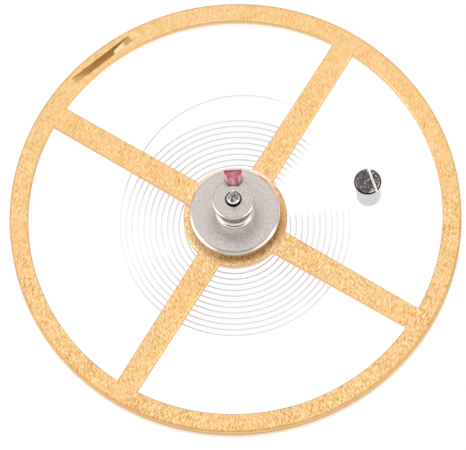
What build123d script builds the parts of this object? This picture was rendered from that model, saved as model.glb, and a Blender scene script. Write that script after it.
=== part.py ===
from build123d import *
import math
import os

# Balance wheel of a wrist watch, complete with its staff, double roller, jewel, hairspring and stud.
# The staff axis is Z and the roller side is up. The origin is the tip of the lower pivot.
# Lengths are in millimetres, angles in degrees, anticlockwise seen from the roller side.

# Rim and arms
RIM_RADIUS = 5.0
RIM_WIDTH = 0.38
RIM_THICKNESS = 0.42
RIM_EDGE_CHAMFER = 0.02
RIM_LINE_BELOW_FACE = 0.205
RIM_LINE_DEPTH = 0.012
WEB_LEDGE_WIDTH = 0.03
WEB_THICKNESS = 0.19
ARM_COUNT = 4
FIRST_ARM_ANGLE = 56.5
ARM_WIDTH_AT_HUB = 0.53
ARM_WIDTH_AT_RIM = 0.49
WINDOW_CORNER_RADIUS = 0.045
HUB_RADIUS = 1.15
HUB_THICKNESS = 0.22

# Poising scoop, one plunge of a milling disc in the face of the rim, square to the radius
SCOOP_ANGLE = 126.4
SCOOP_INSET = 0.163
SCOOP_WIDTH = 0.158
SCOOP_CUTTER_RADIUS = 1.11
SCOOP_DEPTH = 0.34

# Balance staff, from the lower pivot upwards
PIVOT_RADIUS = 0.05
PIVOT_TIP_ROUNDING = 0.02
LOWER_PIVOT_LENGTH = 0.22
LOWER_CONE_LENGTH = 0.18
LOWER_SHAFT_RADIUS = 0.21
LOWER_SHAFT_LENGTH = 0.24
COLLET_SEAT_RADIUS = 0.28
COLLET_SEAT_LENGTH = 0.78
WHEEL_SEAT_RADIUS = 0.38
RIVET_SPREAD = 0.07
RIVET_HEIGHT = 0.06
FLANGE_RADIUS = 0.45
FLANGE_THICKNESS = 0.19
ROLLER_SEAT_RADIUS = 0.165
ROLLER_SEAT_TOP_RADIUS = 0.155
ROLLER_SEAT_SETBACK = 0.12
UPPER_SHOULDER_RADIUS = 0.146
UPPER_SHOULDER_TAPER = 0.004
UPPER_SHOULDER_CHAMFER = 0.02
UPPER_SHOULDER_PROUD = 0.08
UPPER_CONE_LENGTH = 0.19
UPPER_PIVOT_LENGTH = 0.22

# Double roller
IMPULSE_ROLLER_RADIUS = 1.005
IMPULSE_ROLLER_THICKNESS = 0.21
IMPULSE_ROLLER_CHAMFER = 0.05
SAFETY_ROLLER_RADIUS = 0.476
SAFETY_DISC_THICKNESS = 0.14
SAFETY_ROLLER_CHAMFER = 0.03
SAFETY_NECK_RADIUS = 0.385
SAFETY_NECK_LENGTH = 0.68
SAFETY_NECK_FLARE = 0.045
SAFETY_FOOT_THICKNESS = 0.01
ROLLER_RECESS_GAP = 0.024
CRESCENT_OUTSET = 0.05
CRESCENT_RADIUS = 0.28
CRESCENT_DEPTH = 0.26

# Impulse jewel, a ruby pin with a flat on its outer side, and the cement under the roller
JEWEL_ANGLE = 90.0
JEWEL_RADIUS = 0.195
JEWEL_INSET = 0.21
JEWEL_FLAT_FROM_CENTRE = 0.03
JEWEL_HEIGHT_ABOVE_ROLLER = 0.48
JEWEL_HEIGHT_BELOW_ROLLER = 0.06
JEWEL_EDGE_CHAMFER = 0.015
JEWEL_HOLE_CLEARANCE = 0.005
SHELLAC_THICKNESS = 0.04
SHELLAC_MARGIN = 0.045

# Collet, the split ring that holds the inner end of the hairspring, and its pin
COLLET_WALL = 0.22
COLLET_HEIGHT = 0.36
COLLET_GAP_TO_RIVET = 0.26
COLLET_SLIT_WIDTH = 0.06
COLLET_SLIT_ANGLE = 62.0
COLLET_CHAMFER = 0.03
COLLET_HOLE_RADIUS = 0.07
COLLET_PIN_CLEARANCE = 0.003
COLLET_PIN_FLAT_FROM_CENTRE = 0.002
COLLET_PIN_PROUD = 0.08

# Hairspring, a flat strip wound on edge
SPRING_THICKNESS = 0.03
SPRING_HEIGHT = 0.11
SPRING_PITCH = 0.131
SPRING_BODY_ANGLE = 178.0
SPRING_GAP_TO_COLLET = 0.11
SPRING_OFFSET_IN_COLLET_HOLE = 0.02
SPRING_INNER_BEND_RADIUS = 0.25
SPRING_TAIL_IN_COLLET = 0.15
TERMINAL_GAP = 0.51
TERMINAL_BLEND = 0.09
TERMINAL_JOIN_ANGLE = 75.0
TERMINAL_STEP_TO_SLOT = 0.12
TERMINAL_END_BEND_RADIUS = 1.0
SPRING_END_SETBACK = 0.06

# Stud that fixes the outer end of the hairspring to the balance cock, and its cement
STUD_ANGLE = 17.0
STUD_DISTANCE = 3.085
STUD_BODY_RADIUS = 0.27
STUD_HEAD_FLARE = 0.035
STUD_HEAD_LENGTH = 0.20
STUD_LENGTH = 0.95
STUD_CHAMFER = 0.03
STUD_SLOT_OFFSET = 0.125
STUD_SLOT_WIDTH = 0.08
STUD_SLOT_LIP = 0.04
STUD_SLOT_FLOOR_GAP = 0.02
CEMENT_SETBACK = 0.015

# Sizes that follow from the ones above
RIM_INNER_RADIUS = RIM_RADIUS - RIM_WIDTH
WINDOW_RADIUS = RIM_INNER_RADIUS - WEB_LEDGE_WIDTH
SCOOP_DISTANCE = RIM_RADIUS - SCOOP_INSET
JEWEL_DISTANCE = IMPULSE_ROLLER_RADIUS - JEWEL_INSET - JEWEL_FLAT_FROM_CENTRE
CRESCENT_DISTANCE = SAFETY_ROLLER_RADIUS + CRESCENT_OUTSET
ROLLER_RECESS_RADIUS = UPPER_SHOULDER_RADIUS + UPPER_SHOULDER_TAPER + ROLLER_RECESS_GAP
COLLET_RADIUS = COLLET_SEAT_RADIUS + COLLET_WALL
COLLET_HOLE_DISTANCE = COLLET_SEAT_RADIUS + COLLET_WALL / 2
STUD_HEAD_RADIUS = STUD_BODY_RADIUS + STUD_HEAD_FLARE
SLOT_DISTANCE = STUD_DISTANCE + STUD_SLOT_OFFSET
TERMINAL_RADIUS = SLOT_DISTANCE - TERMINAL_STEP_TO_SLOT
SPRING_BODY_RADIUS = TERMINAL_RADIUS - TERMINAL_GAP

# Levels on the staff, stacked from the lower pivot tip
Z_LOWER_CONE = LOWER_PIVOT_LENGTH
Z_LOWER_SHAFT = Z_LOWER_CONE + LOWER_CONE_LENGTH
Z_COLLET_SEAT = Z_LOWER_SHAFT + LOWER_SHAFT_LENGTH
Z_RIVET = Z_COLLET_SEAT + COLLET_SEAT_LENGTH
Z_HUB = Z_RIVET + RIVET_HEIGHT
Z_FACE = Z_HUB + HUB_THICKNESS
Z_ROLLER = Z_FACE + FLANGE_THICKNESS
Z_TABLE = Z_ROLLER + IMPULSE_ROLLER_THICKNESS
Z_SAFETY_DISC = Z_TABLE + SAFETY_NECK_LENGTH
Z_SAFETY_TOP = Z_SAFETY_DISC + SAFETY_DISC_THICKNESS
Z_SEAT_TOP = Z_SAFETY_TOP - ROLLER_SEAT_SETBACK
Z_UPPER_CONE = Z_SAFETY_TOP + UPPER_SHOULDER_PROUD
Z_UPPER_PIVOT = Z_UPPER_CONE + UPPER_CONE_LENGTH
Z_TOP = Z_UPPER_PIVOT + UPPER_PIVOT_LENGTH
Z_COLLET = Z_RIVET - COLLET_GAP_TO_RIVET - COLLET_HEIGHT
Z_SPRING = Z_COLLET + COLLET_HEIGHT / 2
Z_STUD_FACE = Z_SPRING + SPRING_HEIGHT / 2 + STUD_SLOT_LIP
Z_SLOT_FLOOR = Z_SPRING - SPRING_HEIGHT / 2 - STUD_SLOT_FLOOR_GAP


def polar(radius, angle):
    """Point in the plane of the wheel at a radius and an angle."""
    return Vector(radius * math.cos(math.radians(angle)), radius * math.sin(math.radians(angle)))


def disc(radius, bottom, top):
    """Solid cylinder on the staff axis between two levels."""
    return Pos(0, 0, bottom) * extrude(Circle(radius), top - bottom)


def turned(points):
    """Solid of revolution about the staff axis from (radius, height) corners."""
    profile = make_face(Polyline([Vector(r, 0, z) for r, z in points], close=True))
    return revolve(profile, Axis.Z)


def arm_outline(angle):
    """Tapered arm between hub and rim, drawn past both so that it cuts them cleanly."""
    half_hub = ARM_WIDTH_AT_HUB / 2
    half_rim = ARM_WIDTH_AT_RIM / 2
    slope = (half_rim - half_hub) / (WINDOW_RADIUS - HUB_RADIUS)
    start_half = half_hub - slope * HUB_RADIUS
    end_half = half_hub + slope * (RIM_RADIUS - HUB_RADIUS)
    corners = [(0, -start_half), (RIM_RADIUS, -end_half), (RIM_RADIUS, end_half), (0, start_half)]
    return Rot(0, 0, angle) * make_face(Polyline(corners, close=True))


def window_outlines():
    """The open sectors between the arms, with their corners rounded."""
    sectors = Circle(WINDOW_RADIUS) - Circle(HUB_RADIUS)
    for arm in range(ARM_COUNT):
        sectors -= arm_outline(FIRST_ARM_ANGLE + arm * 360 / ARM_COUNT)
    return [sector.fillet_2d(WINDOW_CORNER_RADIUS, sector.vertices()) for sector in sectors.faces()]


def scoop_cutter():
    """Milling disc with its axis along the radius, sunk in the face of the rim."""
    centre_level = Z_FACE - SCOOP_DEPTH + SCOOP_CUTTER_RADIUS
    place = Rot(0, 0, SCOOP_ANGLE) * Pos(SCOOP_DISTANCE - SCOOP_WIDTH, 0, centre_level) * Rot(0, 90, 0)
    return place * extrude(Circle(SCOOP_CUTTER_RADIUS), SCOOP_WIDTH)


def rim_line():
    """Fine groove turned round the outer wall of the rim."""
    level = Z_FACE - RIM_LINE_BELOW_FACE
    return turned([(RIM_RADIUS - RIM_LINE_DEPTH, level),
                   (RIM_RADIUS + RIM_LINE_DEPTH, level - 2 * RIM_LINE_DEPTH),
                   (RIM_RADIUS + RIM_LINE_DEPTH, level + 2 * RIM_LINE_DEPTH)])


def balance_wheel():
    """Rim, web, arms and hub turned and cut from one piece of brass."""
    rim = disc(RIM_RADIUS, Z_FACE - RIM_THICKNESS, Z_FACE) - disc(RIM_INNER_RADIUS, 0, Z_FACE - WEB_THICKNESS)
    outer_edges = rim.edges().filter_by(GeomType.CIRCLE).group_by(SortBy.RADIUS)[-1]
    rim = chamfer(outer_edges, RIM_EDGE_CHAMFER) - rim_line()
    for outline in window_outlines():
        rim -= Pos(0, 0, Z_FACE - RIM_THICKNESS) * extrude(outline, 2 * RIM_THICKNESS)
    hub = disc(HUB_RADIUS, Z_HUB, Z_FACE)
    return rim + hub - disc(WHEEL_SEAT_RADIUS, Z_HUB, Z_FACE) - scoop_cutter()


def pivot_tip(base_z, tip_z):
    """Corners of a pivot's rounded end, from its cylinder to the axis."""
    direction = 1 if tip_z > base_z else -1
    return [(PIVOT_RADIUS, tip_z - direction * PIVOT_TIP_ROUNDING),
            (PIVOT_RADIUS - PIVOT_TIP_ROUNDING, tip_z), (0, tip_z)]


def balance_staff():
    """Turned steel staff with both pivots, the seats and the riveted shoulder."""
    lower_tip = list(reversed(pivot_tip(Z_LOWER_CONE, 0)))
    upper_tip = pivot_tip(Z_UPPER_PIVOT, Z_TOP)
    corners = lower_tip + [
        (PIVOT_RADIUS, Z_LOWER_CONE),
        (LOWER_SHAFT_RADIUS, Z_LOWER_SHAFT),
        (LOWER_SHAFT_RADIUS, Z_COLLET_SEAT),
        (COLLET_SEAT_RADIUS, Z_COLLET_SEAT),
        (COLLET_SEAT_RADIUS, Z_RIVET),
        (WHEEL_SEAT_RADIUS, Z_RIVET),
        (WHEEL_SEAT_RADIUS + RIVET_SPREAD, Z_HUB),
        (WHEEL_SEAT_RADIUS, Z_HUB),
        (WHEEL_SEAT_RADIUS, Z_FACE),
        (FLANGE_RADIUS, Z_FACE),
        (FLANGE_RADIUS, Z_ROLLER),
        (ROLLER_SEAT_RADIUS, Z_ROLLER),
        (ROLLER_SEAT_TOP_RADIUS, Z_SEAT_TOP),
        (UPPER_SHOULDER_RADIUS + UPPER_SHOULDER_TAPER, Z_SEAT_TOP),
        (UPPER_SHOULDER_RADIUS, Z_UPPER_CONE - UPPER_SHOULDER_CHAMFER),
        (UPPER_SHOULDER_RADIUS - UPPER_SHOULDER_CHAMFER, Z_UPPER_CONE),
        (PIVOT_RADIUS, Z_UPPER_PIVOT),
    ] + upper_tip
    return turned(corners)


def roller_bore():
    """Bore through both rollers: the staff's taper, then a wider recess round its shoulder."""
    return turned([(0, Z_ROLLER), (ROLLER_SEAT_RADIUS, Z_ROLLER), (ROLLER_SEAT_TOP_RADIUS, Z_SEAT_TOP),
                   (ROLLER_RECESS_RADIUS, Z_SEAT_TOP), (ROLLER_RECESS_RADIUS + UPPER_SHOULDER_TAPER, Z_SAFETY_TOP),
                   (0, Z_SAFETY_TOP)])


def jewel_section(growth):
    """D shaped outline of the jewel, grown by a clearance all round."""
    whole = Pos(JEWEL_DISTANCE, 0) * Circle(JEWEL_RADIUS + growth)
    side = 2 * (JEWEL_RADIUS + growth)
    flat_side = Pos(JEWEL_DISTANCE + JEWEL_FLAT_FROM_CENTRE + growth + side / 2, 0) * Rectangle(side, 2 * side)
    return Rot(0, 0, JEWEL_ANGLE) * (whole - flat_side)


def impulse_roller():
    """Large steel disc that carries the jewel."""
    body = disc(IMPULSE_ROLLER_RADIUS, Z_ROLLER, Z_TABLE)
    body = chamfer(body.edges().group_by(Axis.Z)[-1], IMPULSE_ROLLER_CHAMFER)
    hole = Pos(0, 0, Z_ROLLER) * extrude(jewel_section(JEWEL_HOLE_CLEARANCE), IMPULSE_ROLLER_THICKNESS)
    return body - roller_bore() - hole


def safety_roller():
    """Small steel roller on its long flared neck, with the passing crescent in front of the jewel."""
    head = disc(SAFETY_ROLLER_RADIUS, Z_SAFETY_DISC, Z_SAFETY_TOP)
    head = chamfer(head.edges().group_by(Axis.Z)[-1], SAFETY_ROLLER_CHAMFER)
    foot_radius = SAFETY_NECK_RADIUS + SAFETY_NECK_FLARE
    neck = turned([(0, Z_TABLE), (foot_radius, Z_TABLE), (foot_radius, Z_TABLE + SAFETY_FOOT_THICKNESS),
                   (SAFETY_NECK_RADIUS, Z_TABLE + SAFETY_FOOT_THICKNESS + SAFETY_NECK_FLARE),
                   (SAFETY_NECK_RADIUS, Z_SAFETY_DISC), (0, Z_SAFETY_DISC)])
    crescent_centre = polar(CRESCENT_DISTANCE, JEWEL_ANGLE)
    crescent = Pos(crescent_centre.X, crescent_centre.Y, Z_SAFETY_TOP - CRESCENT_DEPTH) * extrude(
        Circle(CRESCENT_RADIUS), CRESCENT_DEPTH)
    return head + neck - roller_bore() - crescent


def impulse_jewel():
    """Ruby pin that stands in the impulse roller."""
    height = JEWEL_HEIGHT_BELOW_ROLLER + IMPULSE_ROLLER_THICKNESS + JEWEL_HEIGHT_ABOVE_ROLLER
    pin = Pos(0, 0, Z_ROLLER - JEWEL_HEIGHT_BELOW_ROLLER) * extrude(jewel_section(0), height)
    return chamfer(pin.edges().group_by(Axis.Z)[-1], JEWEL_EDGE_CHAMFER)


def jewel_shellac():
    """Bead of cement round the jewel, under the impulse roller."""
    outline = jewel_section(SHELLAC_MARGIN) - jewel_section(0)
    return Pos(0, 0, Z_ROLLER - SHELLAC_THICKNESS) * extrude(outline, SHELLAC_THICKNESS)


def hairspring_collet():
    """Split brass ring pressed on the staff, drilled across for the spring and its pin."""
    ring = disc(COLLET_RADIUS, Z_COLLET, Z_COLLET + COLLET_HEIGHT)
    ring = chamfer(ring.edges().filter_by(GeomType.CIRCLE), COLLET_CHAMFER)
    ring -= disc(COLLET_SEAT_RADIUS, Z_COLLET, Z_COLLET + COLLET_HEIGHT)
    slit = Pos(COLLET_RADIUS, 0, Z_SPRING) * Box(2 * COLLET_RADIUS, COLLET_SLIT_WIDTH, COLLET_HEIGHT)
    return ring - Rot(0, 0, COLLET_SLIT_ANGLE) * slit - collet_hole(COLLET_HOLE_RADIUS, COLLET_RADIUS)


def collet_hole(radius, half_length):
    """Cylinder along the collet's cross hole, centred on the hole's nearest point to the axis."""
    centre = polar(COLLET_HOLE_DISTANCE, spring_foot_angle())
    middle = Plane(origin=(centre.X, centre.Y, Z_SPRING), x_dir=polar(1, spring_foot_angle()),
                   z_dir=polar(1, spring_foot_angle() - 90))
    return middle * extrude(Circle(radius), half_length, both=True)


def collet_pin():
    """Pin with a flat that wedges the end of the spring in the collet's cross hole."""
    half_length = math.sqrt(COLLET_RADIUS ** 2 - COLLET_HOLE_DISTANCE ** 2) + COLLET_PIN_PROUD
    radius = COLLET_HOLE_RADIUS - COLLET_PIN_CLEARANCE
    flat = COLLET_HOLE_DISTANCE + COLLET_PIN_FLAT_FROM_CENTRE
    beyond = Pos(flat + radius, 0, Z_SPRING) * Box(2 * radius, 4 * half_length, 4 * radius)
    return collet_hole(radius, half_length) - Rot(0, 0, spring_foot_angle()) * beyond


def spring_inner_radius():
    """Distance of the innermost whole coil's end from the staff axis."""
    room = SPRING_BODY_RADIUS - COLLET_RADIUS - SPRING_GAP_TO_COLLET
    return SPRING_BODY_RADIUS - math.floor(room / SPRING_PITCH) * SPRING_PITCH


def spring_foot_angle():
    """Direction from the staff axis to the strip where it passes through the collet."""
    drop = COLLET_HOLE_DISTANCE + SPRING_OFFSET_IN_COLLET_HOLE - SPRING_INNER_BEND_RADIUS
    turn = math.degrees(math.acos(drop / (spring_inner_radius() - SPRING_INNER_BEND_RADIUS)))
    return SPRING_BODY_ANGLE + turn


def arc(centre, radius, start_angle, end_angle):
    """Clockwise arc at the level of the hairspring."""
    return CenterArc((centre.X, centre.Y, Z_SPRING), radius, start_angle, end_angle - start_angle)


def line(start, direction_angle, length):
    """Straight run at the level of the hairspring."""
    end = start + polar(length, direction_angle)
    return Line((start.X, start.Y, Z_SPRING), (end.X, end.Y, Z_SPRING))


def spring_inner_end():
    """Straight end in the collet and the bend that leads out to the first coil."""
    foot_angle = spring_foot_angle()
    bend_shift = spring_inner_radius() - SPRING_INNER_BEND_RADIUS
    foot = polar(COLLET_HOLE_DISTANCE + SPRING_OFFSET_IN_COLLET_HOLE, foot_angle)
    tail = foot + polar(SPRING_TAIL_IN_COLLET, foot_angle + 90)
    run = SPRING_TAIL_IN_COLLET + bend_shift * math.sin(math.radians(foot_angle - SPRING_BODY_ANGLE))
    bend_centre = polar(bend_shift, SPRING_BODY_ANGLE)
    return [line(tail, foot_angle - 90, run),
            arc(bend_centre, SPRING_INNER_BEND_RADIUS, foot_angle, SPRING_BODY_ANGLE)]


def spring_coils():
    """Half turns about two centres a half pitch apart, from the innermost to the outermost."""
    half_turns = 2 * round((SPRING_BODY_RADIUS - spring_inner_radius()) / SPRING_PITCH)
    coils = []
    for step in reversed(range(half_turns)):
        outward = step % 2 == 0
        centre = polar(SPRING_PITCH / 4 if outward else -SPRING_PITCH / 4, SPRING_BODY_ANGLE)
        radius = SPRING_BODY_RADIUS - SPRING_PITCH / 4 - step * SPRING_PITCH / 2
        start_angle = SPRING_BODY_ANGLE + (180 if outward else 0)
        coils.append(arc(centre, radius, start_angle, start_angle - 180))
    return coils


def spring_terminal():
    """Outer curve: two arcs that leave the coils, a concentric arc, and the bend into the stud."""
    second_shift = TERMINAL_GAP + TERMINAL_BLEND
    spread = math.cos(math.radians(SPRING_BODY_ANGLE - 180 - TERMINAL_JOIN_ANGLE))
    first_shift = (second_shift ** 2 - TERMINAL_BLEND ** 2) / (2 * (TERMINAL_BLEND + second_shift * spread))
    first_centre = polar(-first_shift, SPRING_BODY_ANGLE)
    second_centre = polar(second_shift, TERMINAL_JOIN_ANGLE)
    across = second_centre - first_centre
    meet_angle = math.degrees(math.atan2(across.Y, across.X))
    slot_start = polar(SLOT_DISTANCE, STUD_ANGLE) + polar(STUD_HEAD_RADIUS, STUD_ANGLE + 90)
    bend_centre = slot_start - polar(TERMINAL_END_BEND_RADIUS, STUD_ANGLE)
    bend_angle = math.degrees(math.atan2(bend_centre.Y, bend_centre.X))
    reach = (TERMINAL_RADIUS - TERMINAL_END_BEND_RADIUS) / bend_centre.length
    leave_angle = bend_angle + math.degrees(math.acos(reach))
    run = bend_centre.length * math.sin(math.acos(reach))
    end_length = 2 * STUD_HEAD_RADIUS - SPRING_END_SETBACK
    return [arc(first_centre, SPRING_BODY_RADIUS + first_shift, SPRING_BODY_ANGLE, meet_angle),
            arc(second_centre, TERMINAL_RADIUS - second_shift, meet_angle, TERMINAL_JOIN_ANGLE),
            arc(Vector(0, 0), TERMINAL_RADIUS, TERMINAL_JOIN_ANGLE, leave_angle),
            line(polar(TERMINAL_RADIUS, leave_angle), leave_angle - 90, run),
            arc(bend_centre, TERMINAL_END_BEND_RADIUS, leave_angle, STUD_ANGLE),
            line(slot_start, STUD_ANGLE - 90, end_length)]


def least_gap(edges):
    """Smallest clear distance between the strip and itself, measured on points of its edges."""
    samples = 24
    points = [[edge.position_at(step / samples) for step in range(samples + 1)] for edge in edges]
    nearest = SPRING_BODY_RADIUS
    for first in range(len(edges)):
        for second in range(first + 2, min(first + 4, len(edges))):
            for point in points[first]:
                distance = min((point - other).length for other in points[second])
                nearest = min(nearest, distance)
    return nearest - SPRING_THICKNESS


def hairspring():
    """The whole spring: a rectangular strip swept along its centre line."""
    edges = spring_inner_end() + spring_coils() + spring_terminal()
    path = Wire(edges)
    foot_angle = spring_foot_angle()
    section = Plane(origin=edges[0] @ 0, x_dir=polar(1, foot_angle), z_dir=polar(1, foot_angle - 90))
    strip = sweep(section * Rectangle(SPRING_THICKNESS, SPRING_HEIGHT), path)
    print("hairspring length", round(path.length, 3), "mm, least gap", round(least_gap(edges), 3), "mm")
    print("hairspring volume over section times length",
          round(strip.volume / (path.length * SPRING_THICKNESS * SPRING_HEIGHT), 5))
    return strip


def stud_place(distance, level):
    """Place on the stud's axis, or beside it towards the rim, turned square to the stud's radius."""
    centre = polar(distance, STUD_ANGLE)
    return Pos(centre.X, centre.Y, level) * Rot(0, 0, STUD_ANGLE)


def stud_slot(length):
    """Slot across the head of the stud, open at the stud's face."""
    depth = Z_STUD_FACE - Z_SLOT_FLOOR
    return stud_place(SLOT_DISTANCE, Z_SLOT_FLOOR + depth / 2) * Box(STUD_SLOT_WIDTH, length, depth)


def hairspring_stud():
    """Turned steel stud with its slightly flared and slotted head towards the wheel."""
    body = turned([(0, -STUD_LENGTH),
                   (STUD_BODY_RADIUS - STUD_CHAMFER, -STUD_LENGTH),
                   (STUD_BODY_RADIUS, STUD_CHAMFER - STUD_LENGTH),
                   (STUD_BODY_RADIUS, -STUD_HEAD_LENGTH),
                   (STUD_HEAD_RADIUS, -STUD_CHAMFER),
                   (STUD_HEAD_RADIUS - STUD_CHAMFER, 0),
                   (0, 0)])
    return stud_place(STUD_DISTANCE, Z_STUD_FACE) * body - stud_slot(3 * STUD_HEAD_RADIUS)


def stud_cement():
    """Cement that fills the stud's slot round the end of the spring."""
    chord = 2 * math.sqrt(STUD_HEAD_RADIUS ** 2 - (STUD_SLOT_OFFSET + STUD_SLOT_WIDTH / 2) ** 2)
    block = stud_slot(chord - 2 * STUD_CHAMFER)
    above = stud_place(SLOT_DISTANCE, Z_STUD_FACE) * Box(STUD_SLOT_WIDTH, chord, 2 * CEMENT_SETBACK)
    spring_end = stud_place(SLOT_DISTANCE, Z_SPRING) * Pos(0, SPRING_END_SETBACK / 2, 0) * Box(
        SPRING_THICKNESS, 2 * STUD_HEAD_RADIUS - SPRING_END_SETBACK, SPRING_HEIGHT)
    return block - above - spring_end


def write_piece(name, shape):
    """Write one named piece and say what it holds."""
    export_step(shape, f"parts/{name}.step")
    print(name, "solids", len(shape.solids()), "volume", round(shape.volume, 5), "mm3")


os.makedirs("parts", exist_ok=True)
write_piece("balance_wheel", balance_wheel())
write_piece("balance_staff", balance_staff())
write_piece("impulse_roller", impulse_roller())
write_piece("safety_roller", safety_roller())
write_piece("impulse_jewel", impulse_jewel())
write_piece("jewel_shellac", jewel_shellac())
write_piece("hairspring_collet", hairspring_collet())
write_piece("collet_pin", collet_pin())
write_piece("hairspring", hairspring())
write_piece("hairspring_stud", hairspring_stud())
write_piece("stud_cement", stud_cement())
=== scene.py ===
import math

import bmesh
import bpy
import numpy as np
from mathutils import Matrix, Vector


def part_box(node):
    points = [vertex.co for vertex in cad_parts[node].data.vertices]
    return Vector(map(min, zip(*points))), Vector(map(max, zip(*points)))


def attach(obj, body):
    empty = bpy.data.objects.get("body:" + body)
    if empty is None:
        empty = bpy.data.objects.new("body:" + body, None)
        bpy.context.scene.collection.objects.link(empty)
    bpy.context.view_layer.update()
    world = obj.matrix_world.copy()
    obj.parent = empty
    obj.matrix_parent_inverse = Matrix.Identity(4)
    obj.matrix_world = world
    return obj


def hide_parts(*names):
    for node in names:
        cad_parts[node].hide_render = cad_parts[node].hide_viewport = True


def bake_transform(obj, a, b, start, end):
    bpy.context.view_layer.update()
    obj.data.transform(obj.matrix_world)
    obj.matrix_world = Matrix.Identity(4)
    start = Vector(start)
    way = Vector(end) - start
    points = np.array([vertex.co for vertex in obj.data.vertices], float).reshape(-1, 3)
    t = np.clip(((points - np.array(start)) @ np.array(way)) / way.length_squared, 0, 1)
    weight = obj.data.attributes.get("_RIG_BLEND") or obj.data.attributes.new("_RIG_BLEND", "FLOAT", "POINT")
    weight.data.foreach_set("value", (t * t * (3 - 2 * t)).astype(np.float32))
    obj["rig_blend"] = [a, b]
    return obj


# Looks of a watch balance: its gilt wheel, steel staff and rollers, ruby pin, hairspring and stud.
# Sizes are in millimetres and degrees. Each mesh is turned to metres when its piece is finished.
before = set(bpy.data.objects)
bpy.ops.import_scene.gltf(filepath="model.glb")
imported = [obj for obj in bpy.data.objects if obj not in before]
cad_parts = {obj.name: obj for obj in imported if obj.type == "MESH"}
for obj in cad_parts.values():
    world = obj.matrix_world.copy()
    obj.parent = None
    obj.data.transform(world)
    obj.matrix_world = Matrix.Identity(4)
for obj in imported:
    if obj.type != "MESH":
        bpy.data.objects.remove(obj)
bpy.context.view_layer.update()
MM = 0.001


def low(node):
    """Lowest corner of a CAD node, in millimetres."""
    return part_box(node)[0] / MM


def high(node):
    """Highest corner of a CAD node, in millimetres."""
    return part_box(node)[1] / MM


# Levels on the staff, read from the frame
Z_TIP = low("balance_staff").z
Z_TOP = high("balance_staff").z
Z_RIM_FOOT = low("balance_wheel").z
Z_FACE = high("balance_wheel").z
Z_ROLLER = low("impulse_roller").z
Z_TABLE = high("impulse_roller").z
Z_SAFETY_TOP = high("safety_roller").z
Z_JEWEL_FOOT = low("impulse_jewel").z
Z_JEWEL_TOP = high("impulse_jewel").z
Z_COLLET = low("hairspring_collet").z
Z_COLLET_TOP = high("hairspring_collet").z
Z_SPRING = (low("hairspring").z + high("hairspring").z) / 2
Z_STUD_FACE = high("hairspring_stud").z
Z_STUD_FOOT = low("hairspring_stud").z
Z_SLOT_FLOOR = low("stud_cement").z
SHELLAC_THICKNESS = high("jewel_shellac").z - low("jewel_shellac").z
SPRING_HEIGHT = high("hairspring").z - low("hairspring").z

# Wheel
RIM_RADIUS = 5.0
RIM_INNER_RADIUS = 4.62
RIM_LINE_BELOW_FACE = 0.205
RIM_LINE_DEPTH = 0.012
WINDOW_RADIUS = 4.59
WEB_THICKNESS = 0.19
HUB_RADIUS = 1.15
HUB_THICKNESS = 0.22
WINDOW_HUB_RADIUS = 1.145
ARM_COUNT = 4
FIRST_ARM_ANGLE = 56.5
ARM_WIDTH_AT_HUB = 0.53
ARM_WIDTH_AT_RIM = 0.49
WINDOW_CORNER_RADIUS = 0.045
EDGE_BREAK = 0.014
RIM_EDGE_ROUNDING = 0.02

# Poising scoop
SCOOP_ANGLE = 126.4
SCOOP_DISTANCE = 4.837
SCOOP_WIDTH = 0.158
SCOOP_CUTTER_RADIUS = 1.11
SCOOP_DEPTH = 0.34

# Staff
PIVOT_RADIUS = 0.05
PIVOT_LENGTH = 0.22
LOWER_CONE_LENGTH = 0.18
LOWER_SHAFT_RADIUS = 0.21
LOWER_SHAFT_LENGTH = 0.24
COLLET_SEAT_RADIUS = 0.28
WHEEL_SEAT_RADIUS = 0.38
RIVET_SPREAD = 0.07
RIVET_HEIGHT = 0.06
FLANGE_RADIUS = 0.45
ROLLER_SEAT_RADIUS = 0.165
ROLLER_SEAT_TOP_RADIUS = 0.155
ROLLER_SEAT_SETBACK = 0.12
UPPER_SHOULDER_RADIUS = 0.146
UPPER_SHOULDER_TAPER = 0.004
UPPER_SHOULDER_CHAMFER = 0.02
UPPER_SHOULDER_PROUD = 0.08

# Double roller
IMPULSE_ROLLER_RADIUS = 1.005
IMPULSE_ROLLER_CHAMFER = 0.05
SAFETY_ROLLER_RADIUS = 0.476
SAFETY_DISC_THICKNESS = 0.14
SAFETY_ROLLER_CHAMFER = 0.03
SAFETY_NECK_RADIUS = 0.385
SAFETY_NECK_FLARE = 0.045
SAFETY_FOOT_THICKNESS = 0.01
ROLLER_RECESS_GAP = 0.024
ROLLER_EDGE_BREAK = 0.006
CRESCENT_DISTANCE = 0.526
CRESCENT_RADIUS = 0.28
CRESCENT_DEPTH = 0.26

# Impulse jewel and its shellac
JEWEL_ANGLE = 90.0
JEWEL_RADIUS = 0.195
JEWEL_DISTANCE = 0.765
JEWEL_FLAT_FROM_CENTRE = 0.03
JEWEL_EDGE_CHAMFER = 0.015
JEWEL_HOLE_CLEARANCE = 0.005
SHELLAC_MARGIN = 0.045

# Collet and its pin
COLLET_RADIUS = 0.50
COLLET_SLIT_WIDTH = 0.06
COLLET_SLIT_ANGLE = 62.0
COLLET_CHAMFER = 0.03
COLLET_HOLE_DISTANCE = 0.39
COLLET_HOLE_RADIUS = 0.07
COLLET_PIN_CLEARANCE = 0.003
COLLET_PIN_PROUD = 0.08

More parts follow.
